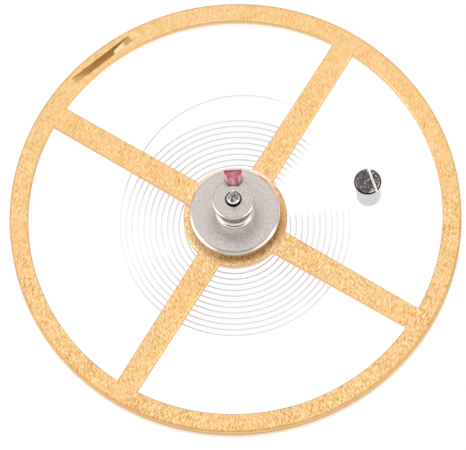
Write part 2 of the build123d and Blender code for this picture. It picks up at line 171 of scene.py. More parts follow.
# Hairspring
SPRING_THICKNESS = 0.03
SPRING_EDGE_ROUNDING = 0.004
SPRING_PITCH = 0.131
SPRING_BODY_ANGLE = 178.0
SPRING_GAP_TO_COLLET = 0.11
SPRING_OFFSET_IN_COLLET_HOLE = 0.02
SPRING_INNER_BEND_RADIUS = 0.25
SPRING_TAIL_IN_COLLET = 0.15
TERMINAL_GAP = 0.51
TERMINAL_BLEND = 0.09
TERMINAL_JOIN_ANGLE = 75.0
TERMINAL_STEP_TO_SLOT = 0.12
TERMINAL_END_BEND_RADIUS = 1.0
SPRING_END_SETBACK = 0.06
SPRING_STEP = 3.0

# Stud and its cement
STUD_ANGLE = 17.0
STUD_DISTANCE = 3.085
STUD_BODY_RADIUS = 0.27
STUD_HEAD_RADIUS = 0.305
STUD_HEAD_LENGTH = 0.20
STUD_CHAMFER = 0.03
STUD_EDGE_BREAK = 0.012
STUD_SLOT_OFFSET = 0.125
STUD_SLOT_WIDTH = 0.08
CEMENT_SETBACK = 0.015

# Levels and distances that follow
Z_WEB = Z_FACE - WEB_THICKNESS
Z_HUB = Z_FACE - HUB_THICKNESS
Z_RIVET = Z_HUB - RIVET_HEIGHT
Z_LOWER_CONE = Z_TIP + PIVOT_LENGTH
Z_LOWER_SHAFT = Z_LOWER_CONE + LOWER_CONE_LENGTH
Z_COLLET_SEAT = Z_LOWER_SHAFT + LOWER_SHAFT_LENGTH
Z_UPPER_PIVOT = Z_TOP - PIVOT_LENGTH
Z_SEAT_TOP = Z_SAFETY_TOP - ROLLER_SEAT_SETBACK
Z_UPPER_CONE = Z_SAFETY_TOP + UPPER_SHOULDER_PROUD
Z_SAFETY_DISC = Z_SAFETY_TOP - SAFETY_DISC_THICKNESS
ROLLER_RECESS_RADIUS = UPPER_SHOULDER_RADIUS + UPPER_SHOULDER_TAPER + ROLLER_RECESS_GAP
RECESS_TOP_RADIUS = ROLLER_RECESS_RADIUS + UPPER_SHOULDER_TAPER
SLOT_DISTANCE = STUD_DISTANCE + STUD_SLOT_OFFSET
TERMINAL_RADIUS = SLOT_DISTANCE - TERMINAL_STEP_TO_SLOT
SPRING_BODY_RADIUS = TERMINAL_RADIUS - TERMINAL_GAP

# Fineness of the round forms
RIM_SEGMENTS = 384
ROUND_SEGMENTS = 128
HOLE_SEGMENTS = 48
RIM_ARC_STEPS = 64
HUB_ARC_STEPS = 24
JEWEL_STEPS = 40
SHELLAC_STEPS = 8
CORNER_STEPS = 4
CORNER_REACH = 0.45
FILLET_STEPS = 8
SHARP_ANGLE = 33.0


def polar(radius, angle, z=0.0):
    """Point at a radius, an angle and a level."""
    return Vector((radius * math.cos(math.radians(angle)), radius * math.sin(math.radians(angle)), z))


def towards(azimuth, elevation):
    """Direction of a bearing and a height over the horizon, with a length of one."""
    return polar(math.cos(math.radians(elevation)), azimuth, math.sin(math.radians(elevation)))


def outward(distance, angle, level):
    """Place at a distance from the staff axis, turned so that its X points away from the axis."""
    return Matrix.Translation(polar(distance, angle, level)) @ Matrix.Rotation(math.radians(angle), 4, "Z")


# Camera and stage


def photo_camera():
    """Camera that looks down on the roller side from the photograph's distance and angle."""
    elevation = math.radians(71.1)
    distance = 300.0
    roll = math.radians(-6.3)
    turn = Matrix.Rotation(math.radians(3.9), 3, "Z")
    target = turn @ Vector((-0.061, -0.2, 0.0)) + Vector((0, 0, Z_FACE))
    back = turn @ Vector((0, -math.cos(elevation), math.sin(elevation)))
    level_right = turn @ Vector((1, 0, 0))
    level_up = level_right.cross(-back)
    right = math.cos(roll) * level_right + math.sin(roll) * level_up
    up = math.cos(roll) * level_up - math.sin(roll) * level_right
    half_pixel = 0.011
    place = target + distance * back + half_pixel * (up - right)
    data = bpy.data.cameras.new("photo_camera")
    data.sensor_width = 36.0
    data.lens = 1047.7
    data.clip_start = 0.01
    data.clip_end = 10.0
    camera = loose_object("photo_camera", data)
    camera.matrix_world = Matrix.Translation(place * MM) @ Matrix((right, up, back)).transposed().to_4x4()
    bpy.context.scene.camera = camera


class Finish:
    """A material's node tree, with the patterns that the finishes share. Patterns are in millimetres."""

    def __init__(self, name, color, roughness, metallic=0.0):
        self.material = bpy.data.materials.new(name)
        self.material.use_nodes = True
        self.tree = self.material.node_tree
        self.shader = self.tree.nodes["Principled BSDF"]
        self.set(base_color=color, roughness=roughness, metallic=metallic)

    def feed(self, socket, value):
        """Links another node's output to a socket, or sets the socket's own value."""
        if isinstance(value, bpy.types.NodeSocket):
            self.tree.links.new(value, socket)
        else:
            socket.default_value = hue(value) if isinstance(value, str) else value

    def add(self, kind, inputs=None, **settings):
        """New node, with each input set to a value or linked to another node's output."""
        made = self.tree.nodes.new(kind)
        for name, value in settings.items():
            setattr(made, name, value)
        for key, value in (inputs or {}).items():
            self.feed(made.inputs[key], value)
        return made

    def set(self, **values):
        """Values on the shader's own sockets, or links to them. A socket's spaces are underscores here."""
        for name, value in values.items():
            self.feed(self.shader.inputs[name.replace("_", " ").title().replace("Ior", "IOR")], value)

    def place(self, centre=(0, 0, 0), turn=0.0, stretch=(1, 1, 1)):
        """Object coordinates in millimetres from a centre, turned about Z and then stretched."""
        coordinates = self.add("ShaderNodeTexCoord").outputs["Object"]
        centred = self.add("ShaderNodeMapping", {
            "Vector": coordinates,
            "Location": tuple(-part for part in centre),
            "Scale": (1 / MM,) * 3,
        }).outputs["Vector"]
        turned_round = self.add("ShaderNodeMapping", {
            "Vector": centred,
            "Rotation": (0, 0, math.radians(-turn)),
        }).outputs["Vector"]
        return self.add("ShaderNodeMapping", {"Vector": turned_round, "Scale": stretch}).outputs["Vector"]

    def split(self, vector):
        """The three parts of a vector."""
        return self.add("ShaderNodeSeparateXYZ", {"Vector": vector}).outputs

    def point(self, **parts):
        """Vector of the parts that are given."""
        return self.add("ShaderNodeCombineXYZ", parts).outputs[0]

    def along(self, angle):
        """Distance from the staff axis in one direction."""
        return self.split(self.place(turn=angle))["X"]

    def noise(self, vector, scale=1.0, detail=2.0, roughness=0.5, distortion=0.0):
        """Cloudy pattern about one half."""
        return self.add("ShaderNodeTexNoise", {
            "Vector": vector, "Scale": scale, "Detail": detail, "Roughness": roughness,
            "Distortion": distortion,
        }).outputs["Fac"]

    def math(self, operation, first, second=0.0, clamp=False):
        """One calculation with two values."""
        node = self.add("ShaderNodeMath", {0: first, 1: second}, operation=operation, use_clamp=clamp)
        return node.outputs[0]

    def times(self, *factors):
        """Product of several values."""
        product = factors[0]
        for factor in factors[1:]:
            product = self.math("MULTIPLY", product, factor)
        return product

    def between(self, value, start, end, low_value=0.0, high_value=1.0):
        """Value carried from one range to another, and held at its ends."""
        return self.add("ShaderNodeMapRange", {
            "Value": value, "From Min": start, "From Max": end, "To Min": low_value, "To Max": high_value,
        }).outputs["Result"]

    def band(self, value, start, full, last, end):
        """One from a full value to a last one, which fades to nothing at a start and an end."""
        return self.times(self.between(value, start, full), self.between(value, end, last))

    def blend(self, share, first, second):
        """Two colours mixed by a share."""
        node = self.add("ShaderNodeMix", data_type="RGBA")
        sockets = {socket.identifier: socket for socket in (*node.inputs, *node.outputs)}
        self.feed(sockets["Factor_Float"], share)
        self.feed(sockets["A_Color"], first)
        self.feed(sockets["B_Color"], second)
        return sockets["Result_Color"]

    def steepness(self):
        """How much a face looks up or down, from nothing on a wall to one on a flat."""
        normal = self.add("ShaderNodeNewGeometry").outputs["True Normal"]
        return self.math("ABSOLUTE", self.split(normal)["Z"])

    def from_axis(self, place):
        """Distance from the upright axis through a place's centre."""
        parts = self.split(place)
        squares = [self.times(parts[name], parts[name]) for name in "XY"]
        return self.math("SQRT", self.math("ADD", *squares))

    def ramp(self, value, stops):
        """Colours that follow a value, from (value, colour) stops in rising order."""
        first = stops[0][0]
        last = stops[-1][0]
        node = self.add("ShaderNodeValToRGB", {"Fac": self.between(value, first, last)})
        points = node.color_ramp.elements
        for index, (at, color) in enumerate(stops):
            share = (at - first) / (last - first)
            point = points[index] if index < 2 else points.new(share)
            point.position = share
            point.color = hue(color)
        return node.outputs["Color"]

    def bump(self, height, depth=0.0004, strength=0.4):
        """Relief of a depth in millimetres, as fine as that of turned steel unless it is given."""
        normal = self.add("ShaderNodeBump", {"Height": height, "Distance": depth * MM, "Strength": strength})
        self.set(normal=normal.outputs["Normal"])


def hue(code):
    """Linear colour of a six figure screen colour."""
    parts = [int(code[start:start + 2], 16) / 255 for start in (0, 2, 4)]
    linear = [part / 12.92 if part <= 0.04045 else ((part + 0.055) / 1.055) ** 2.4 for part in parts]
    return (*linear, 1.0)


def plain_floor():
    """Wide white light table under the lower pivot."""
    reach = 2.0
    corners = [(-reach, -reach, 0), (reach, -reach, 0), (reach, reach, 0), (-reach, reach, 0)]
    mesh = bpy.data.meshes.new("floor")
    mesh.from_pydata(corners, [], [(0, 1, 2, 3)])
    finish = Finish("white_light_table", "000000", 0.9)
    finish.set(specular_ior_level=0.0, emission_color="FFFFFF", emission_strength=1.0)
    mesh.materials.append(finish.material)
    floor = loose_object("floor", mesh)


def white_studio():
    """White surroundings, dimmer at the horizon but for a bright lobe on either side."""
    world = bpy.data.worlds.new("white_studio")
    bpy.context.scene.world = world
    world.use_nodes = True
    tree = world.node_tree
    direction = tree.nodes.new("ShaderNodeTexCoord")
    height = tree.nodes.new("ShaderNodeSeparateXYZ")
    sky = soft_step(tree, 0.22, 0.60, 0.82, 1.15)
    join(tree, (direction, "Generated", height, "Vector"), (height, "Z", sky, "Value"))
    level = (sky, "Result")
    for azimuth, elevation, edge, core, gain in ((-164, 13, 0.74, 0.94, 1.0), (-32, 15, 0.84, 0.97, 0.8)):
        nearness = tree.nodes.new("ShaderNodeVectorMath")
        nearness.operation = "DOT_PRODUCT"
        nearness.inputs[1].default_value = towards(azimuth, elevation)
        lobe = soft_step(tree, edge, core, 0.0, gain)
        added = tree.nodes.new("ShaderNodeMath")
        added.operation = "ADD"
        join(tree, (direction, "Generated", nearness, 0), (nearness, "Value", lobe, "Value"),
             (*level, added, 0), (lobe, "Result", added, 1))
        level = (added, 0)
    light = tree.nodes["Background"]
    backdrop = tree.nodes.new("ShaderNodeBackground")
    backdrop.inputs["Color"].default_value = hue("FFFFFF")
    seen = tree.nodes.new("ShaderNodeLightPath")
    mixed = tree.nodes.new("ShaderNodeMixShader")
    join(tree, (*level, light, "Color"), (seen, "Is Camera Ray", mixed, 0), (light, "Background", mixed, 1),
         (backdrop, "Background", mixed, 2), (mixed, "Shader", tree.nodes["World Output"], "Surface"))


def join(tree, *wires):
    """Links in a tree, each given as a node, its output, the next node and its input."""
    for source, output, target, socket in wires:
        tree.links.new(source.outputs[output], target.inputs[socket])


def soft_step(tree, start, end, first, last):
    """Node that eases from one level to another between two values."""
    node = tree.nodes.new("ShaderNodeMapRange")
    node.interpolation_type = "SMOOTHSTEP"
    for label, value in (("From Min", start), ("From Max", end), ("To Min", first), ("To Max", last)):
        node.inputs[label].default_value = value
    return node


def soft_light(name, azimuth, elevation, distance, size, radiance):
    """Square soft box that faces the wheel, with the brightness that its surface shows."""
    data = bpy.data.lights.new(name, "AREA")
    data.shape = "SQUARE"
    data.size = size * MM
    data.energy = radiance * math.pi * (size * MM) ** 2
    light = loose_object(name, data)
    away = towards(azimuth, elevation)
    light.location = (away * distance + Vector((0, 0, Z_FACE))) * MM
    light.rotation_mode = "QUATERNION"
    light.rotation_quaternion = away.to_track_quat("Z", "Y")


# Shared forms


def loose_object(name, data):
    """Object that holds a mesh, a light or a camera and is in the scene."""
    made = bpy.data.objects.new(name, data)
    bpy.context.scene.collection.objects.link(made)
    return made


def as_mesh(form, name):
    """Mesh of a bmesh, with its faces pointing outwards."""
    bmesh.ops.recalc_face_normals(form, faces=form.faces)
    mesh = bpy.data.meshes.new(name)
    form.to_mesh(mesh)
    form.free()
    return mesh


def eased(corners, size, closed=True):
    """Outline with each of its corners rounded, over at most a size along both sides."""
    points = [Vector(corner) for corner in corners]
    count = len(points)
    rounded = []
    for index, corner in enumerate(points):
        if not closed and index in (0, count - 1):
            rounded.append(corner)
            continue
        before = points[index - 1] - corner
        after = points[(index + 1) % count] - corner
        reach = min(size, CORNER_REACH * before.length, CORNER_REACH * after.length)
        start = corner + before.normalized() * reach
        end = corner + after.normalized() * reach
        for step in range(CORNER_STEPS + 1):
            share = step / CORNER_STEPS
            rounded.append(start * (1 - share) ** 2 + corner * 2 * share * (1 - share) + end * share ** 2)
    return rounded


def wall(form, first, second):
    """Band of faces between two loops of corners, either of which may be a single point."""
    count = max(len(first), len(second))
    for step in range(count):
        following = (step + 1) % count
        if len(first) == 1:
            form.faces.new((first[0], second[step], second[following]))
        elif len(second) == 1:
            form.faces.new((first[step], first[following], second[0]))
        else:
            form.faces.new((first[step], first[following], second[following], second[step]))


def turned(name, outline, segments=ROUND_SEGMENTS, closed=False):
    """Mesh turned about Z from (radius, height) points. An open outline starts and ends on the axis."""
    form = bmesh.new()
    rings = []
    for radius, height in outline:
        steps = range(segments) if radius > 0 else [0]
        rings.append([form.verts.new(polar(radius, step * 360 / segments, height)) for step in steps])
    for inner, outer in zip(rings, rings[1:] + rings[:1] if closed else rings[1:]):
        wall(form, inner, outer)
    return as_mesh(form, name)


def drum(name, radius, reach, segments=ROUND_SEGMENTS):
    """Plain round form about Z, which reaches as far down as up."""
    return turned(name, [(0, -reach), (radius, -reach), (radius, reach), (0, reach)], segments)


def stacked(name, layers, hollow=False):
    """Form through flat loops of (points, level), closed at both ends or, if hollow, from last to first."""
    form = bmesh.new()
    rings = [[form.verts.new((point[0], point[1], level)) for point in points] for points, level in layers]
    for first, second in zip(rings, rings[1:]):
        wall(form, first, second)
    if hollow:
        wall(form, rings[-1], rings[0])
    else:
        form.faces.new(rings[0])
        form.faces.new(rings[-1])
    return as_mesh(form, name)


def box(name, size, place):
    """Rectangular block to cut with."""
    form = bmesh.new()
    bmesh.ops.create_cube(form, size=1.0, matrix=place @ Matrix.Diagonal((*size, 1)))
    return loose_object(name, as_mesh(form, name))


def placed(mesh, matrix):
    """The same mesh, moved."""
    mesh.transform(matrix)
    return mesh


def carved(target, *cutters):
    """Takes the space of the cutters out of an object, and removes them."""
    for cutter in cutters:
        cut = target.modifiers.new("cut", "BOOLEAN")
        cut.operation = "DIFFERENCE"
        cut.solver = "MANIFOLD"
        cut.object = cutter
    settle(target)
    for cutter in cutters:
        bpy.data.objects.remove(cutter)


def settle(target):
    """Turns what an object's modifiers make into its own plain mesh."""
    graph = bpy.context.evaluated_depsgraph_get()
    mesh = bpy.data.meshes.new_from_object(target.evaluated_get(graph))
    target.modifiers.clear()
    target.data = mesh


def node_tool(name, inputs):
    """Geometry Nodes tree with named sizes and a finish, and the node whose geometry it makes real."""
    tree = bpy.data.node_groups.new(name, "GeometryNodeTree")
    tree.is_modifier = True
    tree.interface.new_socket("Geometry", in_out="INPUT", socket_type="NodeSocketGeometry")
    for label, kind in {**inputs, "Finish": "Material"}.items():
        tree.interface.new_socket(label, in_out="INPUT", socket_type="NodeSocket" + kind)
    tree.interface.new_socket("Geometry", in_out="OUTPUT", socket_type="NodeSocketGeometry")
    given = tree.nodes.new("NodeGroupInput")
    result = tree.nodes.new("NodeGroupOutput")
    real = tree.nodes.new("GeometryNodeRealizeInstances")
    coat = tree.nodes.new("GeometryNodeSetMaterial")
    join(tree, (real, "Geometry", coat, "Geometry"), (given, "Finish", coat, "Material"),
         (coat, "Geometry", result, "Geometry"))
    return tree, given, real


def run_tool(target, tree, values):
    """Runs a tree on an object with its sizes set, and keeps the mesh that it makes."""
    modifier = target.modifiers.new(tree.name, "NODES")
    modifier.node_group = tree
    sockets = {item.name: item.identifier for item in tree.interface.items_tree if item.in_out == "INPUT"}
    for label, value in values.items():
        modifier[sockets[label]] = value
    settle(target)


def finish_piece(piece, body, node, finish):
    """Gives a piece its finish, turns it to metres and makes it stand for its CAD node."""
    mesh = piece.data
    mesh.materials.clear()
    mesh.materials.append(finish)
    mesh.transform(Matrix.Scale(MM, 4))
    for face in mesh.polygons:
        face.material_index = 0
    mesh.shade_smooth()
    mesh.set_sharp_from_angle(angle=math.radians(SHARP_ANGLE))
    if body:
        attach(piece, body)
    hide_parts(node)


# Wheel


def arm_side():
    """Distance of an arm's side from the staff axis, and the side's own direction as a unit slope."""
    slope = (ARM_WIDTH_AT_RIM - ARM_WIDTH_AT_HUB) / 2 / (WINDOW_RADIUS - HUB_RADIUS)
    start = ARM_WIDTH_AT_HUB / 2 - slope * HUB_RADIUS
    length = math.hypot(1, slope)
    return start / length, slope / length, 1 / length


def window_loop(growth, hub_growth=None):
    """Outline of the window after the first arm, grown into the metal all round or less at the hub."""
    side, rise, run = arm_side()
    along = Vector((run, rise))
    across = Vector((-rise, run))
    hub_growth = growth if hub_growth is None else hub_growth
    half = []
    for arc_radius, inward in ((WINDOW_HUB_RADIUS + WINDOW_CORNER_RADIUS, True),
                               (WINDOW_RADIUS - WINDOW_CORNER_RADIUS, False)):
        out = side + WINDOW_CORNER_RADIUS
        centre = across * out + along * math.sqrt(arc_radius ** 2 - out ** 2)
        to_side = math.degrees(math.atan2(-across.y, -across.x))
        middle = math.degrees(math.atan2(centre.y, centre.x))
        to_arc = middle - 180 if inward else middle
        size = WINDOW_CORNER_RADIUS + (hub_growth if inward else growth)
        ends = (to_arc, to_side) if inward else (to_side, to_arc)
        half += [centre + polar(size, ends[0] + (ends[1] - ends[0]) * step / FILLET_STEPS).to_2d()
                 for step in range(FILLET_STEPS + 1)]
    sector = Matrix.Rotation(math.radians(360 / ARM_COUNT), 2)
    mirrored = [sector @ Vector((point.x, -point.y)) for point in reversed(half)]
    outer_arc = arc_between(half[-1], mirrored[0], RIM_ARC_STEPS)
    inner_arc = arc_between(mirrored[-1], half[0], HUB_ARC_STEPS)
    return half + outer_arc + mirrored + inner_arc


def arc_between(start, end, steps):
    """Points between two others on an arc about the staff axis."""
    radius = start.length
    first = math.degrees(math.atan2(start.y, start.x))
    last = math.degrees(math.atan2(end.y, end.x))
    return [polar(radius, first + (last - first) * step / steps).to_2d() for step in range(1, steps)]


def repeat_tool():
    """Tree that repeats a form round the staff axis."""
    tree, given, real = node_tool("repeated_round_the_staff", {"Count": "Int", "First Angle": "Float"})
    points = tree.nodes.new("GeometryNodePoints")
    index = tree.nodes.new("GeometryNodeInputIndex")
    step = tree.nodes.new("ShaderNodeMath")
    step.operation = "DIVIDE"
    step.inputs[0].default_value = math.tau
    angle = tree.nodes.new("ShaderNodeMath")
    angle.operation = "MULTIPLY_ADD"
    rotation = tree.nodes.new("ShaderNodeCombineXYZ")
    copies = tree.nodes.new("GeometryNodeInstanceOnPoints")
    join(tree, (given, "Count", points, "Count"), (given, "Count", step, 1), (index, "Index", angle, 0),
         (step, 0, angle, 1), (given, "First Angle", angle, 2), (angle, 0, rotation, "Z"),
         (points, 0, copies, "Points"), (given, "Geometry", copies, "Instance"),
         (rotation, "Vector", copies, "Rotation"), (copies, "Instances", real, "Geometry"))
    return tree


def wheel_blank():
    """Rim, web and hub before the windows are cut, with the fine line round the rim."""
    line = Z_FACE - RIM_LINE_BELOW_FACE
    bore = [(WHEEL_SEAT_RADIUS, Z_FACE), (WHEEL_SEAT_RADIUS, Z_HUB)]
    under = eased([(HUB_RADIUS, Z_HUB), (HUB_RADIUS, Z_WEB), (RIM_INNER_RADIUS, Z_WEB),
                   (RIM_INNER_RADIUS, Z_RIM_FOOT)], EDGE_BREAK, closed=False)
    foot = eased([(RIM_INNER_RADIUS, Z_WEB), (RIM_INNER_RADIUS, Z_RIM_FOOT), (RIM_RADIUS, Z_RIM_FOOT),
                  (RIM_RADIUS, line)], RIM_EDGE_ROUNDING, closed=False)
    groove = [(RIM_RADIUS, line - RIM_LINE_DEPTH), (RIM_RADIUS - RIM_LINE_DEPTH, line),
              (RIM_RADIUS, line + RIM_LINE_DEPTH)]
    crown = eased([(RIM_RADIUS, line), (RIM_RADIUS, Z_FACE), (WHEEL_SEAT_RADIUS, Z_FACE)],
                  RIM_EDGE_ROUNDING, closed=False)
    outline = bore + under[:-1] + foot[1:-1] + groove + crown[1:-1]
    return turned("wheel", outline, RIM_SEGMENTS, closed=True)


def window_cutter():
    """One window as a solid, flared at the face and the underside so that the edges are broken."""
    wide = 2 * EDGE_BREAK
    flared_below = window_loop(wide, 0.0)
    straight = window_loop(0.0)
    flared_above = window_loop(wide)
    return stacked("window", [
        (flared_below, Z_RIM_FOOT - WEB_THICKNESS), (flared_below, Z_WEB - EDGE_BREAK),
        (straight, Z_WEB + EDGE_BREAK), (straight, Z_FACE - EDGE_BREAK),
        (flared_above, Z_FACE + EDGE_BREAK), (flared_above, Z_FACE + WEB_THICKNESS),
    ])


def scoop_cutter():
    """Milling disc with its axis along the radius, sunk in the face of the rim."""
    width = SCOOP_WIDTH / 2
    level = Z_FACE - SCOOP_DEPTH + SCOOP_CUTTER_RADIUS
    place = outward(SCOOP_DISTANCE - width, SCOOP_ANGLE, level) @ Matrix.Rotation(math.radians(90), 4, "Y")
    return placed(drum("scoop", SCOOP_CUTTER_RADIUS, width, RIM_SEGMENTS), place)


def balance_wheel(finish):
    """Gilt wheel with four arms, its windows cut by one repeated form."""
    wheel = loose_object("wheel", wheel_blank())
    windows = loose_object("windows", window_cutter())
    run_tool(windows, repeat_tool(), {
        "Count": ARM_COUNT, "First Angle": math.radians(FIRST_ARM_ANGLE), "Finish": finish,
    })
    carved(wheel, windows, loose_object("scoop", scoop_cutter()))
    finish_piece(wheel, "balance", "balance_wheel", finish)


# Staff and rollers


def balance_staff(finish):
    """Turned staff with its pivots, seats and rivet."""
    outline = [
        (0, Z_TIP), (PIVOT_RADIUS, Z_TIP), (PIVOT_RADIUS, Z_LOWER_CONE),
        (LOWER_SHAFT_RADIUS, Z_LOWER_SHAFT), (LOWER_SHAFT_RADIUS, Z_COLLET_SEAT),
        (COLLET_SEAT_RADIUS, Z_COLLET_SEAT), (COLLET_SEAT_RADIUS, Z_RIVET),
        (WHEEL_SEAT_RADIUS, Z_RIVET), (WHEEL_SEAT_RADIUS + RIVET_SPREAD, Z_HUB),
        (WHEEL_SEAT_RADIUS, Z_HUB), (WHEEL_SEAT_RADIUS, Z_FACE),
        (FLANGE_RADIUS, Z_FACE), (FLANGE_RADIUS, Z_ROLLER),
        (ROLLER_SEAT_RADIUS, Z_ROLLER), (ROLLER_SEAT_TOP_RADIUS, Z_SEAT_TOP),
        (UPPER_SHOULDER_RADIUS + UPPER_SHOULDER_TAPER, Z_SEAT_TOP),
        (UPPER_SHOULDER_RADIUS, Z_UPPER_CONE - UPPER_SHOULDER_CHAMFER),
        (UPPER_SHOULDER_RADIUS - UPPER_SHOULDER_CHAMFER, Z_UPPER_CONE), (PIVOT_RADIUS, Z_UPPER_PIVOT),
        (PIVOT_RADIUS, Z_TOP), (0, Z_TOP),
    ]
    staff = loose_object("staff", turned("staff", eased(outline, PIVOT_RADIUS / 2, closed=False)))
    finish_piece(staff, "balance", "balance_staff", finish)


def jewel_outline(growth):
    """D shaped outline of the jewel, grown by a clearance all round."""
    radius = JEWEL_RADIUS + growth
    half = math.degrees(math.acos((JEWEL_FLAT_FROM_CENTRE + growth) / radius))
    centre = Vector((JEWEL_DISTANCE, 0))
    turn = Matrix.Rotation(math.radians(JEWEL_ANGLE), 2)
    return [turn @ (polar(radius, half + (360 - 2 * half) * step / JEWEL_STEPS).to_2d() + centre)
            for step in range(JEWEL_STEPS + 1)]


def impulse_roller(finish):
    """Large roller with its polished bevel and the hole for the jewel."""
    corner = IMPULSE_ROLLER_CHAMFER
    outline = eased([(ROLLER_SEAT_RADIUS, Z_ROLLER), (IMPULSE_ROLLER_RADIUS, Z_ROLLER),
                     (IMPULSE_ROLLER_RADIUS, Z_TABLE - corner), (IMPULSE_ROLLER_RADIUS - corner, Z_TABLE),
                     (ROLLER_SEAT_RADIUS, Z_TABLE)], ROLLER_EDGE_BREAK)
    roller = loose_object("impulse_table", turned("impulse_table", outline, RIM_SEGMENTS // 2, closed=True))
    loop = jewel_outline(JEWEL_HOLE_CLEARANCE)
    hole = stacked("hole", [(loop, Z_ROLLER - corner), (loop, Z_TABLE + corner)])
    carved(roller, loose_object("hole", hole))
    finish_piece(roller, "balance", "impulse_roller", finish)


def safety_roller(finish):
    """Small roller on its flared neck, with the passing crescent in front of the jewel."""
    bore = ROLLER_SEAT_TOP_RADIUS
    corner = SAFETY_ROLLER_CHAMFER
    outline = [(bore, Z_TABLE), (SAFETY_NECK_RADIUS + SAFETY_NECK_FLARE, Z_TABLE)]
    for turn in range(90, -1, -15):
        out = SAFETY_NECK_FLARE * (1 - math.cos(math.radians(turn)))
        up = SAFETY_NECK_FLARE * (1 - math.sin(math.radians(turn)))
        outline.append((SAFETY_NECK_RADIUS + out, Z_TABLE + SAFETY_FOOT_THICKNESS + up))
    outline += eased([
        (SAFETY_NECK_RADIUS, Z_SAFETY_DISC - 2 * SAFETY_NECK_FLARE), (SAFETY_NECK_RADIUS, Z_SAFETY_DISC),
        (SAFETY_ROLLER_RADIUS, Z_SAFETY_DISC), (SAFETY_ROLLER_RADIUS, Z_SAFETY_TOP - corner),
        (SAFETY_ROLLER_RADIUS - corner, Z_SAFETY_TOP), (RECESS_TOP_RADIUS, Z_SAFETY_TOP),
        (ROLLER_RECESS_RADIUS, Z_SEAT_TOP), (bore, Z_SEAT_TOP),
    ], ROLLER_EDGE_BREAK, closed=False)
    roller = loose_object("safety_table", turned("safety_table", outline, closed=True))
    place = Matrix.Translation(polar(CRESCENT_DISTANCE, JEWEL_ANGLE, Z_SAFETY_TOP))
    disc = drum("crescent", CRESCENT_RADIUS, CRESCENT_DEPTH)
    carved(roller, loose_object("crescent", placed(disc, place)))
    finish_piece(roller, "balance", "safety_roller", finish)


def impulse_jewel(finish):
    """Ruby pin with a flat on its outer side and a broken top edge."""
    edge = JEWEL_EDGE_CHAMFER
    layers = [(jewel_outline(0), Z_JEWEL_FOOT), (jewel_outline(0), Z_JEWEL_TOP - edge),
              (jewel_outline(-edge / 2), Z_JEWEL_TOP - edge / 4), (jewel_outline(-edge), Z_JEWEL_TOP)]
    jewel = loose_object("ruby_pin", stacked("ruby_pin", layers))
    finish_piece(jewel, "balance", "impulse_jewel", finish)


def jewel_shellac(finish):
    """Rounded bead of shellac round the jewel, under the large roller."""
    layers = []
    for step in range(SHELLAC_STEPS + 1):
        angle = math.radians(90 * step / SHELLAC_STEPS)
        level = Z_ROLLER - SHELLAC_THICKNESS * math.sin(angle)
        layers.append((jewel_outline(SHELLAC_MARGIN * math.cos(angle)), level))
    layers.append((jewel_outline(0), Z_ROLLER))
    bead = loose_object("shellac_bead", stacked("shellac_bead", layers, hollow=True))
    finish_piece(bead, "balance", "jewel_shellac", finish)


# Collet and hairspring


def cross_bar(name, radius, half_length):
    """Round bar along the collet's cross hole."""
    foot = spring_foot_angle()
    turn = polar(1, foot - 90).to_track_quat("Z", "X").to_matrix().to_4x4()
    place = Matrix.Translation(polar(COLLET_HOLE_DISTANCE, foot, Z_SPRING)) @ turn
    return loose_object(name, placed(drum(name, radius, half_length, HOLE_SEGMENTS), place))


def hairspring_collet(finish):
    """Split brass ring with broken edges and the cross hole for the spring."""
    outline = eased([(COLLET_SEAT_RADIUS, Z_COLLET), (COLLET_RADIUS, Z_COLLET),
                     (COLLET_RADIUS, Z_COLLET_TOP), (COLLET_SEAT_RADIUS, Z_COLLET_TOP)], COLLET_CHAMFER)
    ring = loose_object("collet", turned("collet", outline, closed=True))
    slit_size = (2 * COLLET_RADIUS, COLLET_SLIT_WIDTH, 2 * (Z_COLLET_TOP - Z_COLLET))
    slit = box("slit", slit_size, outward(COLLET_RADIUS, COLLET_SLIT_ANGLE, Z_SPRING))
    carved(ring, slit, cross_bar("hole", COLLET_HOLE_RADIUS, COLLET_RADIUS))
    finish_piece(ring, "balance", "hairspring_collet", finish)


def collet_pin(finish):
    """Brass pin with a flat, which wedges the spring in the collet."""
    half_length = math.sqrt(COLLET_RADIUS ** 2 - COLLET_HOLE_DISTANCE ** 2) + COLLET_PIN_PROUD
    radius = COLLET_HOLE_RADIUS - COLLET_PIN_CLEARANCE
    pin = cross_bar("collet_wedge", radius, half_length)
    beyond = outward(COLLET_HOLE_DISTANCE + radius, spring_foot_angle(), Z_SPRING)
    carved(pin, box("flat", (2 * radius, 4 * half_length, 4 * radius), beyond))
    finish_piece(pin, "balance", "collet_pin", finish)


def spring_inner_radius():
    """Distance of the innermost whole coil's end from the staff axis."""
    room = SPRING_BODY_RADIUS - COLLET_RADIUS - SPRING_GAP_TO_COLLET
    return SPRING_BODY_RADIUS - math.floor(room / SPRING_PITCH) * SPRING_PITCH


def spring_foot_angle():
    """Direction from the staff axis to the strip where it passes through the collet."""
    drop = COLLET_HOLE_DISTANCE + SPRING_OFFSET_IN_COLLET_HOLE - SPRING_INNER_BEND_RADIUS
    turn = math.degrees(math.acos(drop / (spring_inner_radius() - SPRING_INNER_BEND_RADIUS)))
    return SPRING_BODY_ANGLE + turn


def arc_points(centre, radius, start_angle, end_angle):
    """Points along a clockwise arc of the spring, without its last one."""
    sweep = end_angle - start_angle
    steps = max(2, math.ceil(abs(sweep) / SPRING_STEP))
    return [centre + polar(radius, start_angle + sweep * step / steps) for step in range(steps)]


